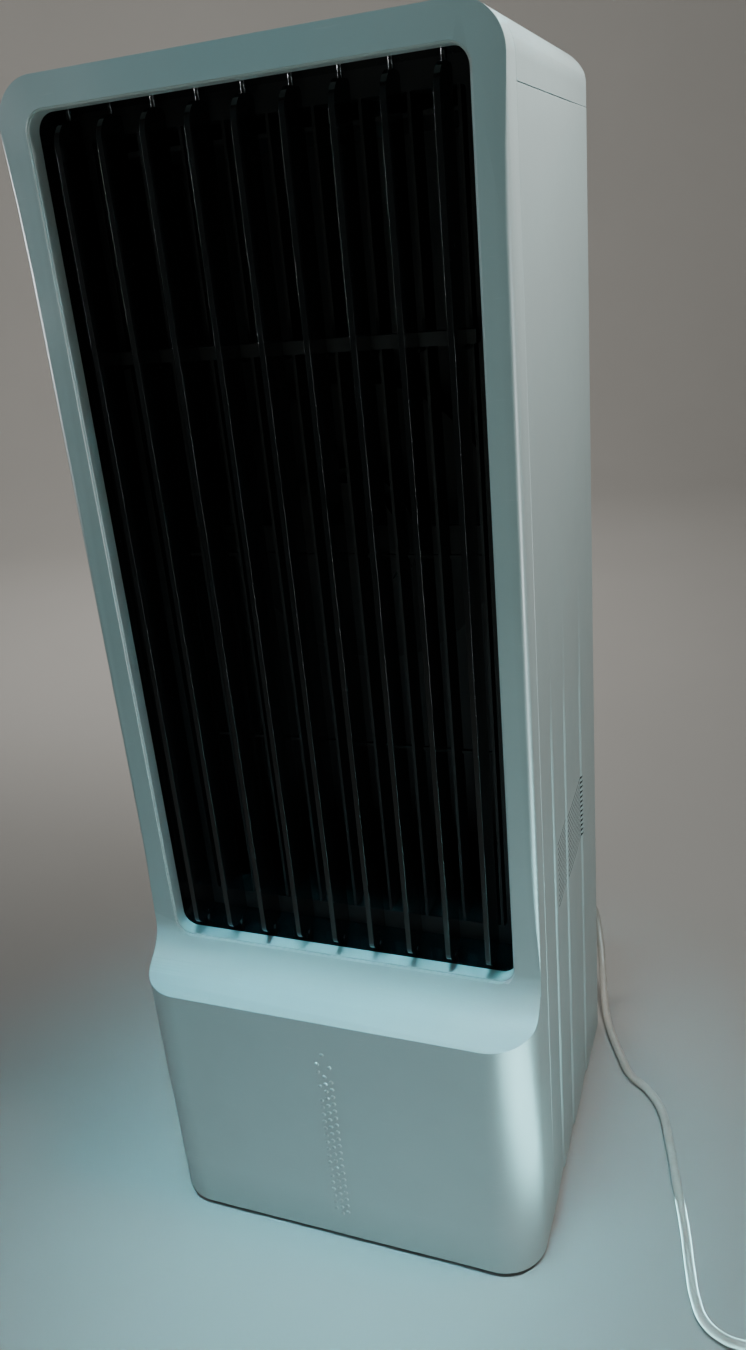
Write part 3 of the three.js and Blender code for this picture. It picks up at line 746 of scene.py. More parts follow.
# Space above the shelf, in (y, z), grown into the body by inset
def recessSolid(inset, steps):
    c = cabinet
    radius = c["shelfRadius"] + inset
    centreY = c["face"] - c["shelfRadius"]
    cornerZ = c["lip"] + (c["face"] - frontY) * math.tan(c["shelfAngle"])
    centreZ = cornerZ + c["shelfRadius"] * math.tan((math.pi / 2 - c["shelfAngle"]) / 2)
    bend = arc(centreY, centreZ, radius, -90 + math.degrees(c["shelfAngle"]), 0, steps)
    reach = 0.06
    out = (bend[0][0] - reach * math.cos(c["shelfAngle"]), bend[0][1] - reach * math.sin(c["shelfAngle"]))
    outline = [out] + bend + [(centreY + radius, topZ + reach), (out[0], topZ + reach)]
    return prism("recess", outline, "x", -halfWidth - mm, halfWidth + mm)


def frontBlock(inset, low, back, steps):
    c = cabinet
    radius = c["corner"] - inset
    half = halfWidth - inset
    edge = c["top"] - inset
    plan = roundedRect(-half, half, frontY + inset, back, [radius, radius, 0, 0], steps)
    face = roundedRect(-half, half, low, topZ - inset, [0, 0, edge, edge], steps)
    solid = prism("plan", plan, "z", low, topZ)
    carve(solid, [prism("face", face, "y", frontY - mm, back + mm)], "INTERSECT")
    return carve(solid, [recessSolid(inset, steps)])


def edgeTool(side):
    e = sideEdge
    face = cabinet["face"]
    stations = []
    for share, z in ((0.04, e["low"]), (0.7, e["low"] + 0.5 * e["run"]), (1.0, e["low"] + e["run"]),
                     (1.0, e["high"] - e["run"]), (0.7, e["high"] - 0.5 * e["run"]), (0.04, e["high"])):
        radius = e["radius"] * share
        bend = arc(halfWidth - radius, face + radius, radius, -90, 0, 12)
        outline = bend + [(halfWidth + 2 * mm, face + radius), (halfWidth + 2 * mm, face - 2 * mm),
                          (halfWidth - radius, face - 2 * mm)]
        stations.append(([(side * a, b) for a, b in outline], z))
    return loft("edgeTool", stations, "z")


def makeFrontShell():
    c = cabinet
    steps = c["smooth"]
    shell = frontBlock(0, bottomZ, c["sideSeam"], steps)
    hollow = frontBlock(c["wall"], bottomZ - mm, c["sideSeam"] + mm, 8)
    opening = prism("opening", windowOutline(), "y", c["face"] - 20 * mm, c["face"] + 20 * mm)
    carve(shell, [hollow])
    carve(shell, [opening])
    thick = windowCut["returnThick"]
    rim = prism("rim", windowOutline(mm), "y", c["face"] + mm, c["face"] + windowCut["returnDeep"])
    carve(rim, [prism("inside", windowOutline(-thick), "y", c["face"] - mm, rearY)])
    carve(shell, [rim], "UNION")
    stations = [(windowOutline(windowCut["chamfer"] + mm - thick), c["face"] - mm),
                (windowOutline(-thick - 0.02 * mm), c["face"] + windowCut["chamfer"])]
    carve(shell, [loft("chamfer", stations, "y")])
    for side in (-1, 1):
        carve(shell, [edgeTool(side)])
    shell.name = "front_shell_fine"
    soften(shell, c["edge"], 3, 28, 50)
    return finishPiece(shell, "shell", "cabinet", ["front_shell"])


# Raised dots down the middle of the lower front, in three staggered columns
dotPattern = {
    "pitch": 5.9 * mm, "column": 4.2 * mm, "radius": 1.5 * mm, "rise": 0.7 * mm,
    "columns": [(-1, 26.1 * mm, list(range(17)) + [18, 20, 21]), (0, 22.5 * mm, list(range(21)) + [23]),
                (1, 24.9 * mm, list(range(20)) + [21])],
}


def makeDots():
    d = dotPattern
    shape = bmesh.new()
    for side, start, rows in d["columns"]:
        for row in rows:
            centre = Vector((side * d["column"], frontY, start + row * d["pitch"]))
            rings = []
            for level in range(5):
                angle = math.radians(-18 + level * 25)
                radius = d["radius"] * math.cos(angle)
                out = d["rise"] * math.sin(angle)
                rings.append([shape.verts.new(centre + Vector((radius * math.cos(math.tau * i / 16), -out,
                              radius * math.sin(math.tau * i / 16)))) for i in range(16)])
            for first, second in zip(rings, rings[1:]):
                for i in range(16):
                    j = (i + 1) % 16
                    shape.faces.new((first[i], first[j], second[j], second[i]))
            shape.faces.new(rings[-1])
            shape.faces.new(rings[0][::-1])
    bmesh.ops.recalc_face_normals(shape, faces=shape.faces)
    made = emit("front_dots", shape)
    soften(made, 0, smooth=60)
    return finishPiece(made, "shell")


sideDetail = {
    "creases": [-34 * mm, 7 * mm, 64 * mm], "creaseDepth": 1.1 * mm, "creaseRun": 2.4 * mm,
    "fadeLow": 330 * mm, "fadeHigh": 430 * mm,
    "ventFront": -26 * mm, "ventRear": 68.5 * mm, "ventRib": 8 * mm, "ventLow": 219 * mm,
    "ventRows": 13, "ventPitch": 3.8 * mm, "slit": 1.6 * mm,
    # setback and thickness of the black sheet that paints shade behind the slits
    "shadeSheetBack": 0.18 * mm, "shadeSheetThick": 0.4 * mm,
}


# How far the skin stands in at this place: it sinks slowly and comes back in a short step at a crease
def creaseDepth(y, z):
    d = sideDetail
    start = cabinet["sideSeam"] + 6 * mm
    for crease in d["creases"]:
        if y < crease:
            share = max(0.0, (y - start) / (crease - start))
            break
        if y < crease + d["creaseRun"]:
            share = 1 - (y - crease) / d["creaseRun"]
            break
        start = crease + d["creaseRun"]
    else:
        share = 0.0
    fade = min(1.0, max(0.0, (d["fadeHigh"] - z) / (d["fadeHigh"] - d["fadeLow"])))
    return d["creaseDepth"] * share * share * fade * fade * (3 - 2 * fade)


def makeSidePanel(side):
    c = cabinet
    d = sideDetail
    front = c["sideSeam"] + c["gap"]
    straight = [front, front + 0.35 * mm, front + mm, front + 6 * mm]
    starts = [front + 6 * mm] + [crease + d["creaseRun"] for crease in d["creases"]]
    for start, crease in zip(starts, d["creases"]):
        straight += [start + (crease - start) * t for t in (0.25, 0.5, 0.75, 0.9, 1.0)]
        straight += [crease + d["creaseRun"] * t for t in (0.35, 0.65, 1.0)]
    straight = [y for y in sorted(set(round(y, 6) for y in straight)) if y < rearY - c["rearCorner"] - mm]
    path = [(halfWidth, y, 1.0) for y in straight]
    bend = arc(halfWidth - c["rearCorner"], rearY - c["rearCorner"], c["rearCorner"], 0, 90, 10)
    path += [(x, y, 0.0) for x, y in bend] + [(halfWidth - c["return"], rearY, 0.0)]
    innerRadius = c["rearCorner"] - c["wall"]
    low, high = bottomZ, c["topSeam"] - c["gap"]
    heights = [low, low + 0.8 * mm]
    heights += [low + (high - low) * i / 40 for i in range(1, 40)]
    heights += [high - 0.8 * mm, high]
    shape = bmesh.new()
    outer, inner = [], []
    for z in heights:
        rowOut, rowIn = [], []
        edge = 0.5 * mm if z in (low, high) else 0.0
        for index, (x, y, creased) in enumerate(path):
            frontEdge = 0.5 * mm if index == 0 else 0.0
            depth = creased * creaseDepth(y, z) + edge + frontEdge
            rowOut.append(shape.verts.new((side * (x - depth if y < rearY - c["rearCorner"] else x), y, z)))
            if y <= rearY - c["rearCorner"] + 1e-9:
                inX, inY = halfWidth - c["wall"], y
            else:
                angle = math.atan2(y - rearY + c["rearCorner"], x - halfWidth + c["rearCorner"])
                inX = halfWidth - c["rearCorner"] + innerRadius * math.cos(angle)
                inY = rearY - c["rearCorner"] + innerRadius * math.sin(angle)
                if x < halfWidth - c["rearCorner"]:
                    inX, inY = x, rearY - c["wall"]
            rowIn.append(shape.verts.new((side * inX, inY, z)))
        outer.append(rowOut)
        inner.append(rowIn)
    last = len(path) - 1
    for r in range(len(heights) - 1):
        for i in range(last):
            shape.faces.new((outer[r][i], outer[r][i + 1], outer[r + 1][i + 1], outer[r + 1][i]))
            shape.faces.new((inner[r][i + 1], inner[r][i], inner[r + 1][i], inner[r + 1][i + 1]))
        shape.faces.new((outer[r][0], outer[r + 1][0], inner[r + 1][0], inner[r][0]))
        shape.faces.new((outer[r][last], inner[r][last], inner[r + 1][last], outer[r + 1][last]))
    for i in range(last):
        shape.faces.new((outer[0][i], inner[0][i], inner[0][i + 1], outer[0][i + 1]))
        shape.faces.new((outer[-1][i], outer[-1][i + 1], inner[-1][i + 1], inner[-1][i]))
    bmesh.ops.recalc_face_normals(shape, faces=shape.faces)
    name = "right_side_panel" if side > 0 else "left_side_panel"
    made = emit(name + "_fine", shape)
    slits = []
    for row in range(d["ventRows"]):
        z = d["ventLow"] + row * d["ventPitch"]
        inside = side * (halfWidth - c["wall"] - 2 * mm)
        outside = side * (halfWidth + 2 * mm)
        for start, end in ((d["ventFront"], d["ventRib"] - mm), (d["ventRib"] + mm, d["ventRear"])):
            slits.append(block("slit", min(inside, outside), max(inside, outside), start, end,
                               z, z + d["slit"]))
    carve(made, [joined("slits", slits)])
    if side > 0:
        low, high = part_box("cord_gland")
        centre = ((low.x + high.x) / 2, (low.z + high.z) / 2)
        carve(made, [disc("hole", 5.7 * mm, "y", centre[0], centre[1], rearY - 10 * mm, rearY + mm, 32)])
    soften(made, 0, smooth=35)
    return finishPiece(made, "shell", "cabinet", [name])


# Black sheet just behind the slits, following the skin: painted shade for the depth of the vent slits
def makeVentShadeSheet(side):
    d = sideDetail
    strips = []
    steps = 20
    for row in range(d["ventRows"]):
        z = d["ventLow"] + row * d["ventPitch"]
        for start, end in ((d["ventFront"], d["ventRib"] - mm), (d["ventRib"] + mm, d["ventRear"])):
            stations = []
            for i in range(steps + 1):
                y = start + (end - start) * i / steps
                x = side * (halfWidth - creaseDepth(y, z) - d["shadeSheetBack"])
                near, far = sorted((x, x - side * d["shadeSheetThick"]))
                stations.append(([(near, z), (far, z), (far, z + d["slit"]), (near, z + d["slit"])], y))
            strips.append(loft("strip", stations, "y"))
    # the strips together make the black sheet of painted shade, in the black mesh finish
    made = joined("right_vent_shade_sheet" if side > 0 else "left_vent_shade_sheet", strips)
    return finishPiece(made, "filter", "cabinet")


def topBlock(inset, low, steps):
    c = cabinet
    half = halfWidth - inset
    edge = c["top"] - inset
    start = c["sideSeam"] - 2 * mm if inset else c["sideSeam"] + c["gap"]
    end = rearY - inset
    corner = c["rearCorner"] - inset
    face = roundedRect(-half, half, low, topZ - inset, [0, 0, edge, edge], steps)
    profile = roundedRect(start, end, low, topZ - inset, [0, 0, c["rearTop"] - inset, 0], steps)
    plan = roundedRect(-half, half, start, end, [0, 0, corner, corner], steps)
    solid = prism("face", face, "y", start - mm, rearY + mm)
    carve(solid, [prism("profile", profile, "x", -halfWidth - mm, halfWidth + mm)], "INTERSECT")
    return carve(solid, [prism("plan", plan, "z", low, topZ + mm)], "INTERSECT")


def panelOutline(grow, radius):
    low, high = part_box("control_panel")
    return roundedRect(low.x - grow, high.x + grow, low.y - grow, high.y + grow, radius, 10)


def makeTopCover():
    c = cabinet
    cover = topBlock(0, c["topSeam"], c["smooth"])
    carve(cover, [topBlock(c["wall"], c["topSeam"] - mm, 8)])
    carve(cover, [prism("seat", panelOutline(c["gap"], 8 * mm), "z", topZ - 1.6 * mm, topZ + mm)])
    carve(cover, [prism("hole", panelOutline(-4 * mm, 6 * mm), "z", topZ - 10 * mm, topZ + mm)])
    cover.name = "top_cover_fine"
    soften(cover, 0.6 * mm, 3, 30, 50)
    return finishPiece(cover, "shell", "cabinet", ["top_cover"])


makeFrontShell()
print("front shell made")
makeDots()
for side in (1, -1):
    makeSidePanel(side)
    makeVentShadeSheet(side)
makeTopCover()
print("cabinet shells made")


# Outlet: frame, vanes, their link and the guard behind them

vaneShape = {
    "count": 9, "front": -87.6 * mm, "rear": -64.8 * mm, "low": 212 * mm, "high": 698.5 * mm,
    "thick": 3.0 * mm, "topRadius": 13 * mm, "lowRadius": 6 * mm, "pivot": -72.6 * mm, "pin": 1.5 * mm,
    "round": 1.2 * mm, "linkZ": 575 * mm, "linkY": -59 * mm,
}


def vaneX(index):
    low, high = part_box(f"vane_{index}")
    return (low.x + high.x) / 2


def makeVane(index):
    v = vaneShape
    x = vaneX(index)
    outline = []
    corners = [(v["front"] + v["lowRadius"], v["low"] + v["lowRadius"], v["lowRadius"], 180, 10),
               (v["rear"] - 3 * mm, v["low"] + 3 * mm, 3 * mm, 270, 5),
               (v["rear"] - 3 * mm, v["high"] - 3 * mm, 3 * mm, 0, 5),
               (v["front"] + v["topRadius"], v["high"] - v["topRadius"], v["topRadius"], 90, 16)]
    for a, b, radius, start, steps in corners:
        outline += arc(a, b, radius, start, start + 90, steps)
    blade = prism("blade", outline, "x", x - v["thick"] / 2, x + v["thick"] / 2)
    pins = [disc("pin", v["pin"], "z", x, v["pivot"], v["high"] - 4 * mm, windowCut["high"] + 1.8 * mm, 20),
            disc("pin", v["pin"], "z", x, v["pivot"], windowCut["low"] - 1.8 * mm, v["low"] + 4 * mm, 20),
            block("arm", x - 2.4 * mm, x + 2.4 * mm, v["rear"] - 2 * mm, v["linkY"] + 3 * mm,
                  v["linkZ"] - 2.4 * mm, v["linkZ"] - 0.6 * mm),
            disc("peg", 1.3 * mm, "z", x, v["linkY"], v["linkZ"] - 1.6 * mm, v["linkZ"] + 4.4 * mm, 16)]
    for pin in pins:
        carve(blade, [pin], "UNION")
    blade.name = f"vane_{index}_fine"
    soften(blade, v["round"], 5, 50, 45)
    return finishPiece(blade, "gloss", f"swing_vane_{index}", [f"vane_{index}"])


def makeLouvreFrame():
    low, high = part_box("louvre_frame")
    grow = high.x - windowCut["half"]
    frameRing = prism("louvre_frame_fine", windowOutline(grow), "y", low.y, high.y)
    carve(frameRing, [prism("inside", windowOutline(-0.4 * mm), "y", low.y - mm, high.y + mm)])
    holes = [disc("hole", 1.9 * mm, "z", vaneX(i), vaneShape["pivot"], 0, topZ, 16) for i in range(1, 10)]
    carve(frameRing, [joined("holes", holes)])
    soften(frameRing, 0.4 * mm, 2, 50, 45)
    return finishPiece(frameRing, "gloss", "cabinet", ["louvre_frame"])


for index in range(1, vaneShape["count"] + 1):
    makeVane(index)
makeLouvreFrame()
refine("vane_link", "matt", "link", 0.4 * mm)
refine("outlet_guard", "matt", "cabinet", 0.3 * mm)
print("outlet made")


# Back: upper panel with its carrying recess, hinged grille, tank front

rear = {
    "edge": 0.7 * mm, "recessRound": 7 * mm, "screwRecess": 3.9 * mm, "slatTilt": 32,
    "slats": 26, "border": 18 * mm, "slatThick": 1.5 * mm, "slatDeep": 9 * mm,
}


def makeUpperPanel():
    low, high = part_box("rear_upper_panel")
    wall = cabinet["wall"]
    plate = prism("plate", roundedRect(low.x, high.x, low.z, high.z, 1.2 * mm, 3), "y", high.y - wall, high.y)
    middle = (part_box("rear_screw_1")[0].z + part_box("rear_screw_3")[1].z) / 2 + 16 * mm
    pocketLow, pocketHigh = middle - 18 * mm, middle + 18 * mm
    outline = roundedRect(-52 * mm, 52 * mm, pocketLow, pocketHigh, 9 * mm, 8)
    carve(plate, [prism("pocket", outline, "y", low.y, high.y - mm)], "UNION")
    mouth = roundedRect(-49.5 * mm, 49.5 * mm, pocketLow + 2.5 * mm, pocketHigh - 2.5 * mm,
                        rear["recessRound"], 8)
    carve(plate, [prism("mouth", mouth, "y", low.y + 2.5 * mm, high.y + mm)])
    tools = []
    for i in range(1, 5):
        a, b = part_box(f"rear_screw_{i}")
        x, z = (a.x + b.x) / 2, (a.z + b.z) / 2
        tools.append(disc("seat", rear["screwRecess"], "y", x, z, high.y - 1.8 * mm, high.y + mm, 32))
        tools.append(disc("shank", 1.8 * mm, "y", x, z, high.y - 5 * mm, high.y + mm, 20))
    for tool in tools:
        carve(plate, [tool])
    plate.name = "rear_upper_panel_fine"
    soften(plate, rear["edge"], 3, 40, 45)
    return finishPiece(plate, "shell", "cabinet", ["rear_upper_panel"])


# Domed head with a cross slot
def makeScrew(index):
    name = f"rear_screw_{index}"
    low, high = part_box(name)
    x, z = (low.x + high.x) / 2, (low.z + high.z) / 2
    profile = [(0.001 * mm, low.y), (0.7 * mm, low.y), (1.5 * mm, low.y + 1.6 * mm),
               (1.5 * mm, high.y - 1.3 * mm), (3.5 * mm, high.y - 1.25 * mm), (3.5 * mm, high.y - 0.8 * mm),
               (3.1 * mm, high.y - 0.35 * mm), (2.0 * mm, high.y - 0.08 * mm), (0.001 * mm, high.y)]
    made = turned(name + "_fine", profile, "y", (x, 0, z), 32)
    away = Matrix.Translation((x, 0, z))
    turn = away @ Matrix.Rotation(0.4 * index, 4, "Y") @ away.inverted()
    for wide, tall in ((2.1 * mm, 0.4 * mm), (0.4 * mm, 2.1 * mm)):
        slot = block("slot", x - wide, x + wide, high.y - 0.7 * mm, high.y + mm, z - tall, z + tall)
        slot.data.transform(turn)
        carve(made, [slot])
    soften(made, 0, smooth=35)
    return finishPiece(made, "steel", "cabinet", [name])


def makeGrille():
    low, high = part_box("rear_grille")
    skin = 2.4 * mm
    border = rear["border"]
    plate = prism("plate", roundedRect(low.x, high.x, low.z, high.z, 1.2 * mm, 3), "y", low.y, high.y)
    hollow = block("hollow", low.x + skin, high.x - skin, low.y - mm, high.y - skin,
                   low.z + skin, high.z - skin)
    carve(plate, [hollow])
    windows = [(low.x + border, -3 * mm), (3 * mm, high.x - border)]
    for start, end in windows:
        outline = roundedRect(start, end, low.z + border, high.z - border, 5 * mm, 8)
        carve(plate, [prism("window", outline, "y", low.y - mm, high.y + mm)])
    notch = roundedRect(-16 * mm, 16 * mm, high.z - 11 * mm, high.z - 5.5 * mm, 2.6 * mm, 8)
    carve(plate, [prism("notch", notch, "y", high.y - 1.2 * mm, high.y + mm)])
    plate.name = "rear_grille_frame"
    soften(plate, rear["edge"], 3, 40, 45)
    finishPiece(plate, "shell", "rear_door", ["rear_grille"])
    pitch = (high.z - low.z - 2 * border) / rear["slats"]
    slats = []
    for i in range(rear["slats"]):
        z = low.z + border + (i + 0.5) * pitch
        for start, end in windows:
            half = rear["slatDeep"] / 2
            thick = rear["slatThick"] / 2
            outline = roundedRect(-half, half, -thick, thick, thick * 0.8, 3)
            slat = prism("slat", outline, "x", start - 0.8 * mm, end + 0.8 * mm)
            slat.data.transform(Matrix.Rotation(math.radians(-rear["slatTilt"]), 4, "X"))
            slat.data.transform(Matrix.Translation((0, high.y - 4.6 * mm, z)))
            slats.append(slat)
    bars = [block("bar", x - 0.9 * mm, x + 0.9 * mm, high.y - 8.3 * mm, high.y - 6.4 * mm,
                  low.z + border - mm, high.z - border + mm) for x in (-60 * mm, -30 * mm, 30 * mm, 60 * mm)]
    slatSet = joined("rear_grille_slats", slats + bars)
    soften(slatSet, 0, smooth=40)
    finishPiece(slatSet, "shell", "rear_door", ["rear_grille"])


def makeTank():
    low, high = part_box("water_tank")
    wall = 2.5 * mm
    half = 107 * mm
    top = 146 * mm
    bottom = 9 * mm
    backFace = high.y - cabinet["wall"]
    latchLow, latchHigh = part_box("tank_latch")
    latchX = (latchLow.x + latchHigh.x) / 2
    latchZ = latchLow.z + 7 * mm
    plan = roundedRect(-half, half, low.y, backFace, [10 * mm, 10 * mm, 0, 0], 8)
    tub = prism("tub", plan, "z", bottom, top)
    inside = roundedRect(wall - half, half - wall, low.y + wall, backFace - wall,
                         [8 * mm, 8 * mm, 2 * mm, 2 * mm], 8)
    carve(tub, [prism("inside", inside, "z", bottom + wall, top + mm)])
    pullLow, pullHigh = top - 28 * mm, top - 6 * mm
    carve(tub, [block("pull", -42.4 * mm, 42.4 * mm, high.y - 22.4 * mm, high.y + mm,
                      pullLow - 2.4 * mm, pullHigh + 2.4 * mm)])
    carve(tub, [disc("clear", 7.6 * mm, "y", latchX, latchZ, high.y - 6 * mm, high.y + mm, 32)])
    tub.name = "water_tank_tub"
    soften(tub, 0.6 * mm, 2, 40, 45)
    finishPiece(tub, "clear", "tank", ["water_tank"])

    face = roundedRect(low.x, high.x, low.z, high.z, 1.2 * mm, 3)
    front = prism("tank_front", face, "y", backFace + 0.02 * mm, high.y)
    outline = roundedRect(-42.5 * mm, 42.5 * mm, pullLow - 2.5 * mm, pullHigh + 2.5 * mm, 8 * mm, 8)
    carve(front, [prism("pocket", outline, "y", high.y - 22.5 * mm, high.y - mm)], "UNION")
    mouth = roundedRect(-40 * mm, 40 * mm, pullLow, pullHigh, 6 * mm, 8)
    carve(front, [prism("mouth", mouth, "y", high.y - 20 * mm, high.y + mm)])
    carve(front, [disc("latchSeat", 7.35 * mm, "y", latchX, latchZ, high.y - 6 * mm, high.y + mm, 48)])
    gauge = roundedRect(70 * mm, 82 * mm, 30 * mm, 130 * mm, 3 * mm, 6)
    carve(front, [prism("gauge", gauge, "y", high.y - 1.2 * mm, high.y + mm)])
    front.name = "water_tank_front"
    soften(front, rear["edge"], 3, 40, 45)
    finishPiece(front, "shell", "tank", ["water_tank"])

    gaugeLow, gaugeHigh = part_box("level_window")
    outline = roundedRect(gaugeLow.x, gaugeHigh.x, gaugeLow.z, gaugeHigh.z, 2.8 * mm, 6)
    pane = prism("level_window_fine", outline, "y", gaugeLow.y, gaugeHigh.y)
    soften(pane, 0.25 * mm, 2, 40, 45)
    finishPiece(pane, "clear", "tank", ["level_window"])
    marks = []
    for i in range(11):
        z = gaugeLow.z + 8 * mm + i * (gaugeHigh.z - gaugeLow.z - 16 * mm) / 10
        long = 4 * mm if i % 5 == 0 else 2.2 * mm
        marks.append(block("mark", gaugeLow.x + 1.2 * mm, gaugeLow.x + 1.2 * mm + long,
                           gaugeHigh.y - 0.05 * mm, gaugeHigh.y + 0.1 * mm, z - 0.25 * mm, z + 0.25 * mm))
    finishPiece(joined("level_marks", marks), "gloss", "tank")


def makeLatch():
    low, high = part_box("tank_latch")
    x = (low.x + high.x) / 2
    z = low.z + 7 * mm
    made = disc("tank_latch_fine", 7 * mm, "y", x, z, high.y - 3.8 * mm, high.y, 56)
    tongue = block("tongue", x - 3.6 * mm, x + 3.6 * mm, low.y, low.y + 2.4 * mm, z - 4 * mm, high.z)
    carve(made, [tongue], "UNION")
    for side in (-1, 1):
        middle = z + side * 3.6 * mm
        grip = roundedRect(x - 7.5 * mm, x + 7.5 * mm, middle - 1.9 * mm, middle + 1.9 * mm, 1.2 * mm, 5)
        carve(made, [prism("grip", grip, "y", high.y - 1.4 * mm, high.y + mm)])
    soften(made, 0.35 * mm, 2, 40, 45)
    return finishPiece(made, "shell", "latch", ["tank_latch"])


makeUpperPanel()
for index in range(1, 5):
    makeScrew(index)
makeGrille()
makeTank()
makeLatch()
print("back made")


# Controls: panel, keys with raised marks, indicator lamps; feet

controls = {"keyRound": 1.1 * mm, "holeGap": 0.45 * mm, "inkRise": 0.12 * mm, "lamps": 6}


def keyCentre(index):
    low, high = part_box(f"button_{index}")
    return (low.x + high.x) / 2, (low.y + high.y) / 2, high.z


def ringMark(x, y, z, radius, wide, start=0, end=360, steps=40):
    outer = arc(x, y, radius, start, end, steps)
    inner = arc(x, y, radius - wide, start, end, steps)
    if end - start >= 360:
        ring = disc("ring", radius, "z", x, y, z, z + controls["inkRise"], steps)
        return carve(ring, [disc("bore", radius - wide, "z", x, y, z - mm, z + mm, steps)])
    return prism("arcMark", outer + inner[::-1], "z", z, z + controls["inkRise"])


def markFor(index, x, y, z):
    def bar(x0, x1, y0, y1):
        return block("bar", x + x0 * mm, x + x1 * mm, y + y0 * mm, y + y1 * mm, z, z + controls["inkRise"])

    if index == 1:   # power
        return [ringMark(x, y, z, 2.7 * mm, 0.5 * mm, 120, 420), bar(-0.25, 0.25, 0.4, 3.2)]
    if index == 2:   # speed: rising bars
        return [bar(-2.4, -1.4, -2, -0.8), bar(-0.6, 0.4, -2, 0.6), bar(1.2, 2.2, -2, 2.1)]
    if index == 3:   # swing: two arcs
        arcs = [ringMark(x, y, z, 2.8 * mm, 0.5 * mm, start, start + 100) for start in (-50, 130)]
        return arcs + [bar(-0.3, 0.3, -2.2, 2.2)]
    if index == 4:   # water: ripples
        return [ringMark(x + a * mm, y + b * mm, z, 1.3 * mm, 0.45 * mm, 200, 340, 14)
                for a in (-1.5, 1.5) for b in (2.0, 0.4, -1.2)]
    # timer
    return [ringMark(x, y, z, 2.8 * mm, 0.45 * mm), bar(-0.25, 0.25, -0.2, 2.0), bar(-0.2, 1.5, -0.45, 0.0)]


def makeControls():
    low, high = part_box("control_panel")
    plate = prism("control_panel_fine", panelOutline(0, 8 * mm), "z", low.z, high.z)
    radius = (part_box("button_1")[1].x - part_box("button_1")[0].x) / 2
    for index in range(1, 6):
        x, y, _ = keyCentre(index)
        carve(plate, [disc("hole", radius + controls["holeGap"], "z", x, y, low.z - mm, high.z + mm, 56)])
    lampLow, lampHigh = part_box("indicator_window")
    pane = roundedRect(lampLow.x - 0.3 * mm, lampHigh.x + 0.3 * mm,
                       lampLow.y - 0.3 * mm, lampHigh.y + 0.3 * mm, 3.3 * mm, 8)
    carve(plate, [prism("lampHole", pane, "z", low.z - mm, high.z + mm)])
    soften(plate, 0.3 * mm, 3, 40, 45)
    finishPiece(plate, "gloss", "cabinet", ["control_panel"])
    outline = roundedRect(lampLow.x, lampHigh.x, lampLow.y, lampHigh.y, 3 * mm, 8)
    cover = prism("indicator_window_fine", outline, "z", lampLow.z, lampHigh.z)
    soften(cover, 0.25 * mm, 2, 40, 45)
    finishPiece(cover, "gloss", "cabinet", ["indicator_window"])
    lamps = []
    for i in range(controls["lamps"]):
        x = lampLow.x + (i + 0.5) * (lampHigh.x - lampLow.x) / controls["lamps"]
        lamps.append(disc("lamp", 1.0 * mm, "z", x, (lampLow.y + lampHigh.y) / 2,
                          lampHigh.z - 0.05 * mm, lampHigh.z + controls["inkRise"], 24))
    finishPiece(joined("indicator_marks", lamps), "ink", "cabinet")
    for index in range(1, 6):
        x, y, top = keyCentre(index)
        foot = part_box(f"button_{index}")[0].z
        r = radius
        profile = [(0.001 * mm, foot), (2.1 * mm, foot), (2.5 * mm, foot + 0.5 * mm),
                   (2.5 * mm, top - 2.7 * mm), (r, top - 2.7 * mm)]
        profile += [(r - controls["keyRound"] + a, top - controls["keyRound"] + b)
                    for a, b in arc(0, 0, controls["keyRound"], 0, 78, 6)]
        profile += [(r * 0.55, top - 0.12 * mm), (r * 0.25, top - 0.26 * mm), (0.001 * mm, top - 0.3 * mm)]
        key = turned(f"button_{index}_fine", profile, "z", (x, y, 0), 56)
        soften(key, 0, smooth=50)
        finishPiece(key, "key", f"key_{index}", [f"button_{index}"])
        mark = joined(f"button_{index}_mark", markFor(index, x, y, top - 0.27 * mm))
        finishPiece(mark, "gloss", f"key_{index}")


# Rubber foot with a chamfer and two tread grooves
def makeFoot(index):
    name = f"foot_{index}"
    low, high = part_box(name)
    x, y = (low.x + high.x) / 2, (low.y + high.y) / 2
    r = (high.x - low.x) / 2
    profile = [(0.001 * mm, low.z), (4 * mm, low.z), (4.4 * mm, low.z + 0.5 * mm),
               (5.4 * mm, low.z + 0.5 * mm), (5.8 * mm, low.z), (8 * mm, low.z),
               (8.4 * mm, low.z + 0.5 * mm), (9.4 * mm, low.z + 0.5 * mm),
               (9.8 * mm, low.z), (r - 0.8 * mm, low.z), (r, low.z + 0.7 * mm), (r, high.z - 0.4 * mm),
               (r - 0.4 * mm, high.z), (0.001 * mm, high.z)]
    made = turned(name + "_fine", profile, "z", (x, y, 0), 48)
    soften(made, 0, smooth=40)
    return finishPiece(made, "rubber", "cabinet", [name])


makeControls()
for index in range(1, 5):
    makeFoot(index)
print("controls and feet made")


# Stage, lights, carried-over pieces

def dressNodes():
    plain = {
        "matt": ["base", "blower_wheel", "pump"],
        "grey": ["plenum", "inlet_ring", "water_distributor", "drip_deck", "mains_box"],
        "clear": ["feed_hose", "riser_pipe"],
        "board": ["control_board"], "pad": ["cooling_pad"], "filter": ["dust_filter"],
        "steel": ["motor_shaft"], "darkSteel": ["vane_motor", "motor_bracket", "blower_motor"],
    }
    for look, names in plain.items():
        for name in names:
            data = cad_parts[name].data
            data.materials.clear()
            data.materials.append(looks[look])


dressNodes()


def floorFinish():
    finish = Finish("floorPaper")
    mottle = finish.noise(3, 4)
    finish.feedShader({
        "Base Color": finish.mix(mottle, (0.42, 0.41, 0.39, 1), (0.46, 0.45, 0.43, 1)),
        "Roughness": 0.7 + 0.1 * mottle,
    })
    finish.bump(finish.noise(400, 2), 0.1, 0.0003)
    return finish.material


stageShape = {"back": 3.2, "sweep": 1.2, "tall": 5.0}


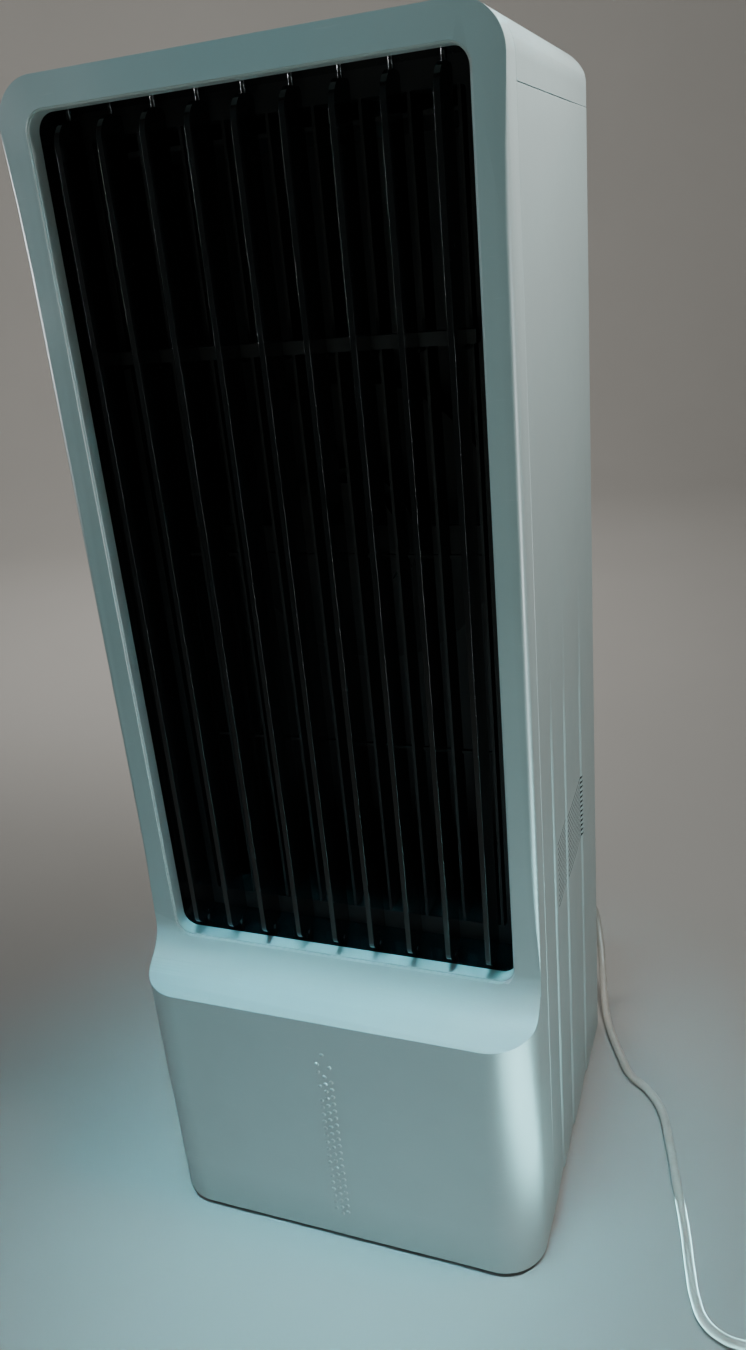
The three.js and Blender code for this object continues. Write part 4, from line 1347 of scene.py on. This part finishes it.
# Round floor that sweeps up into a wall all the way round
def makeStage():
    g = stageShape
    profile = [(g["back"] - g["sweep"], 0.0)]
    profile += [(a, b + g["sweep"]) for a, b in arc(g["back"] - g["sweep"], 0, g["sweep"], -90, 0, 16)[1:]]
    profile.append((g["back"], g["tall"]))
    shape = bmesh.new()
    steps = 64
    rings = []
    turns = [math.tau * i / steps for i in range(steps)]
    for radius, height in profile:
        rings.append([shape.verts.new((radius * math.cos(turn), radius * math.sin(turn), height - 0.0002))
                      for turn in turns])
    shape.faces.new(rings[0])
    for first, second in zip(rings, rings[1:]):
        for i in range(steps):
            j = (i + 1) % steps
            shape.faces.new((first[i], first[j], second[j], second[i]))
    bmesh.ops.recalc_face_normals(shape, faces=shape.faces)
    shape.faces.ensure_lookup_table()
    if shape.faces[0].normal.z < 0:
        bmesh.ops.reverse_faces(shape, faces=shape.faces)
    floor = emit("floor", shape)
    floor.data.shade_smooth()
    floor.data.materials.append(floorFinish())


lights = {
    "key": {"place": (0.40, -0.05, 1.0), "aim": (0.10, -0.05, 0.6), "size": (0.2, 0.2), "power": 3.8,
            "colour": (0.95, 0.97, 0.95)},
    "top": {"place": (0.0, -0.26, 2.4), "aim": (0, -0.13, 0.2), "size": (0.3, 0.3), "power": 0.7,
            "spread": 16, "colour": (0.26, 0.84, 1.0)},
    "low": {"place": (0.35, -1.0, 0.12), "aim": (0, -0.1, 0.15), "size": (0.4, 0.4), "power": 1.35,
            "colour": (0.90, 1.0, 0.87)},
    "front": {"place": (0.25, -0.75, 0.08), "aim": (0, -0.12, 0.08), "size": (0.25, 0.25), "power": 0.08,
              "spread": 60, "colour": (0.45, 0.77, 1.0)},
    "backdrop": {"place": (-0.7, 0.7, 1.5), "aim": (-0.9, 2.6, 0.2), "size": (1.2, 1.2), "power": 26,
                 "colour": (1.0, 0.97, 0.93)},
    "sheen": {"place": (0.50, -0.19, 0.003), "aim": (0.50, -0.19, 1.0), "size": (0.6, 0.3), "power": 16.0,
              "colour": (0.40, 0.95, 1.0), "glossOnly": True},
    "stripRight": {"place": (0.75, -0.55, 0.25), "aim": (0, -0.08, 0.4), "size": (0.2, 0.5), "power": 16,
                   "colour": (0.85, 0.97, 1.0), "glossOnly": True},
    "stripLeft": {"place": (-1.1, -0.35, 0.74), "aim": (0, -0.08, 0.6), "size": (0.15, 0.5), "power": 30,
                  "colour": (0.9, 0.97, 1.0), "glossOnly": True},
}
worldLight = {"colour": (1.0, 0.95, 0.88, 1), "strength": 0.01}


def makeLights():
    for name, light in lights.items():
        data = bpy.data.lights.new(name, "AREA")
        data.shape = "RECTANGLE"
        data.size, data.size_y = light["size"]
        data.energy = light["power"]
        data.color = light["colour"]
        data.spread = math.radians(light.get("spread", 180))
        lamp = bpy.data.objects.new(name, data)
        lamp.location = light["place"]
        direction = Vector(light["aim"]) - Vector(light["place"])
        lamp.rotation_euler = direction.to_track_quat("-Z", "Y").to_euler()
        lamp.visible_diffuse = not light.get("glossOnly", False)
        lamp.visible_camera = False
        bpy.context.scene.collection.objects.link(lamp)
    world = bpy.data.worlds.new("world")
    world.use_nodes = True
    bpy.context.scene.world = world
    sky = world.node_tree.nodes["Background"]
    sky.inputs["Color"].default_value = worldLight["colour"]
    sky.inputs["Strength"].default_value = worldLight["strength"]


makeStage()
makeLights()
print("stage and lights made")
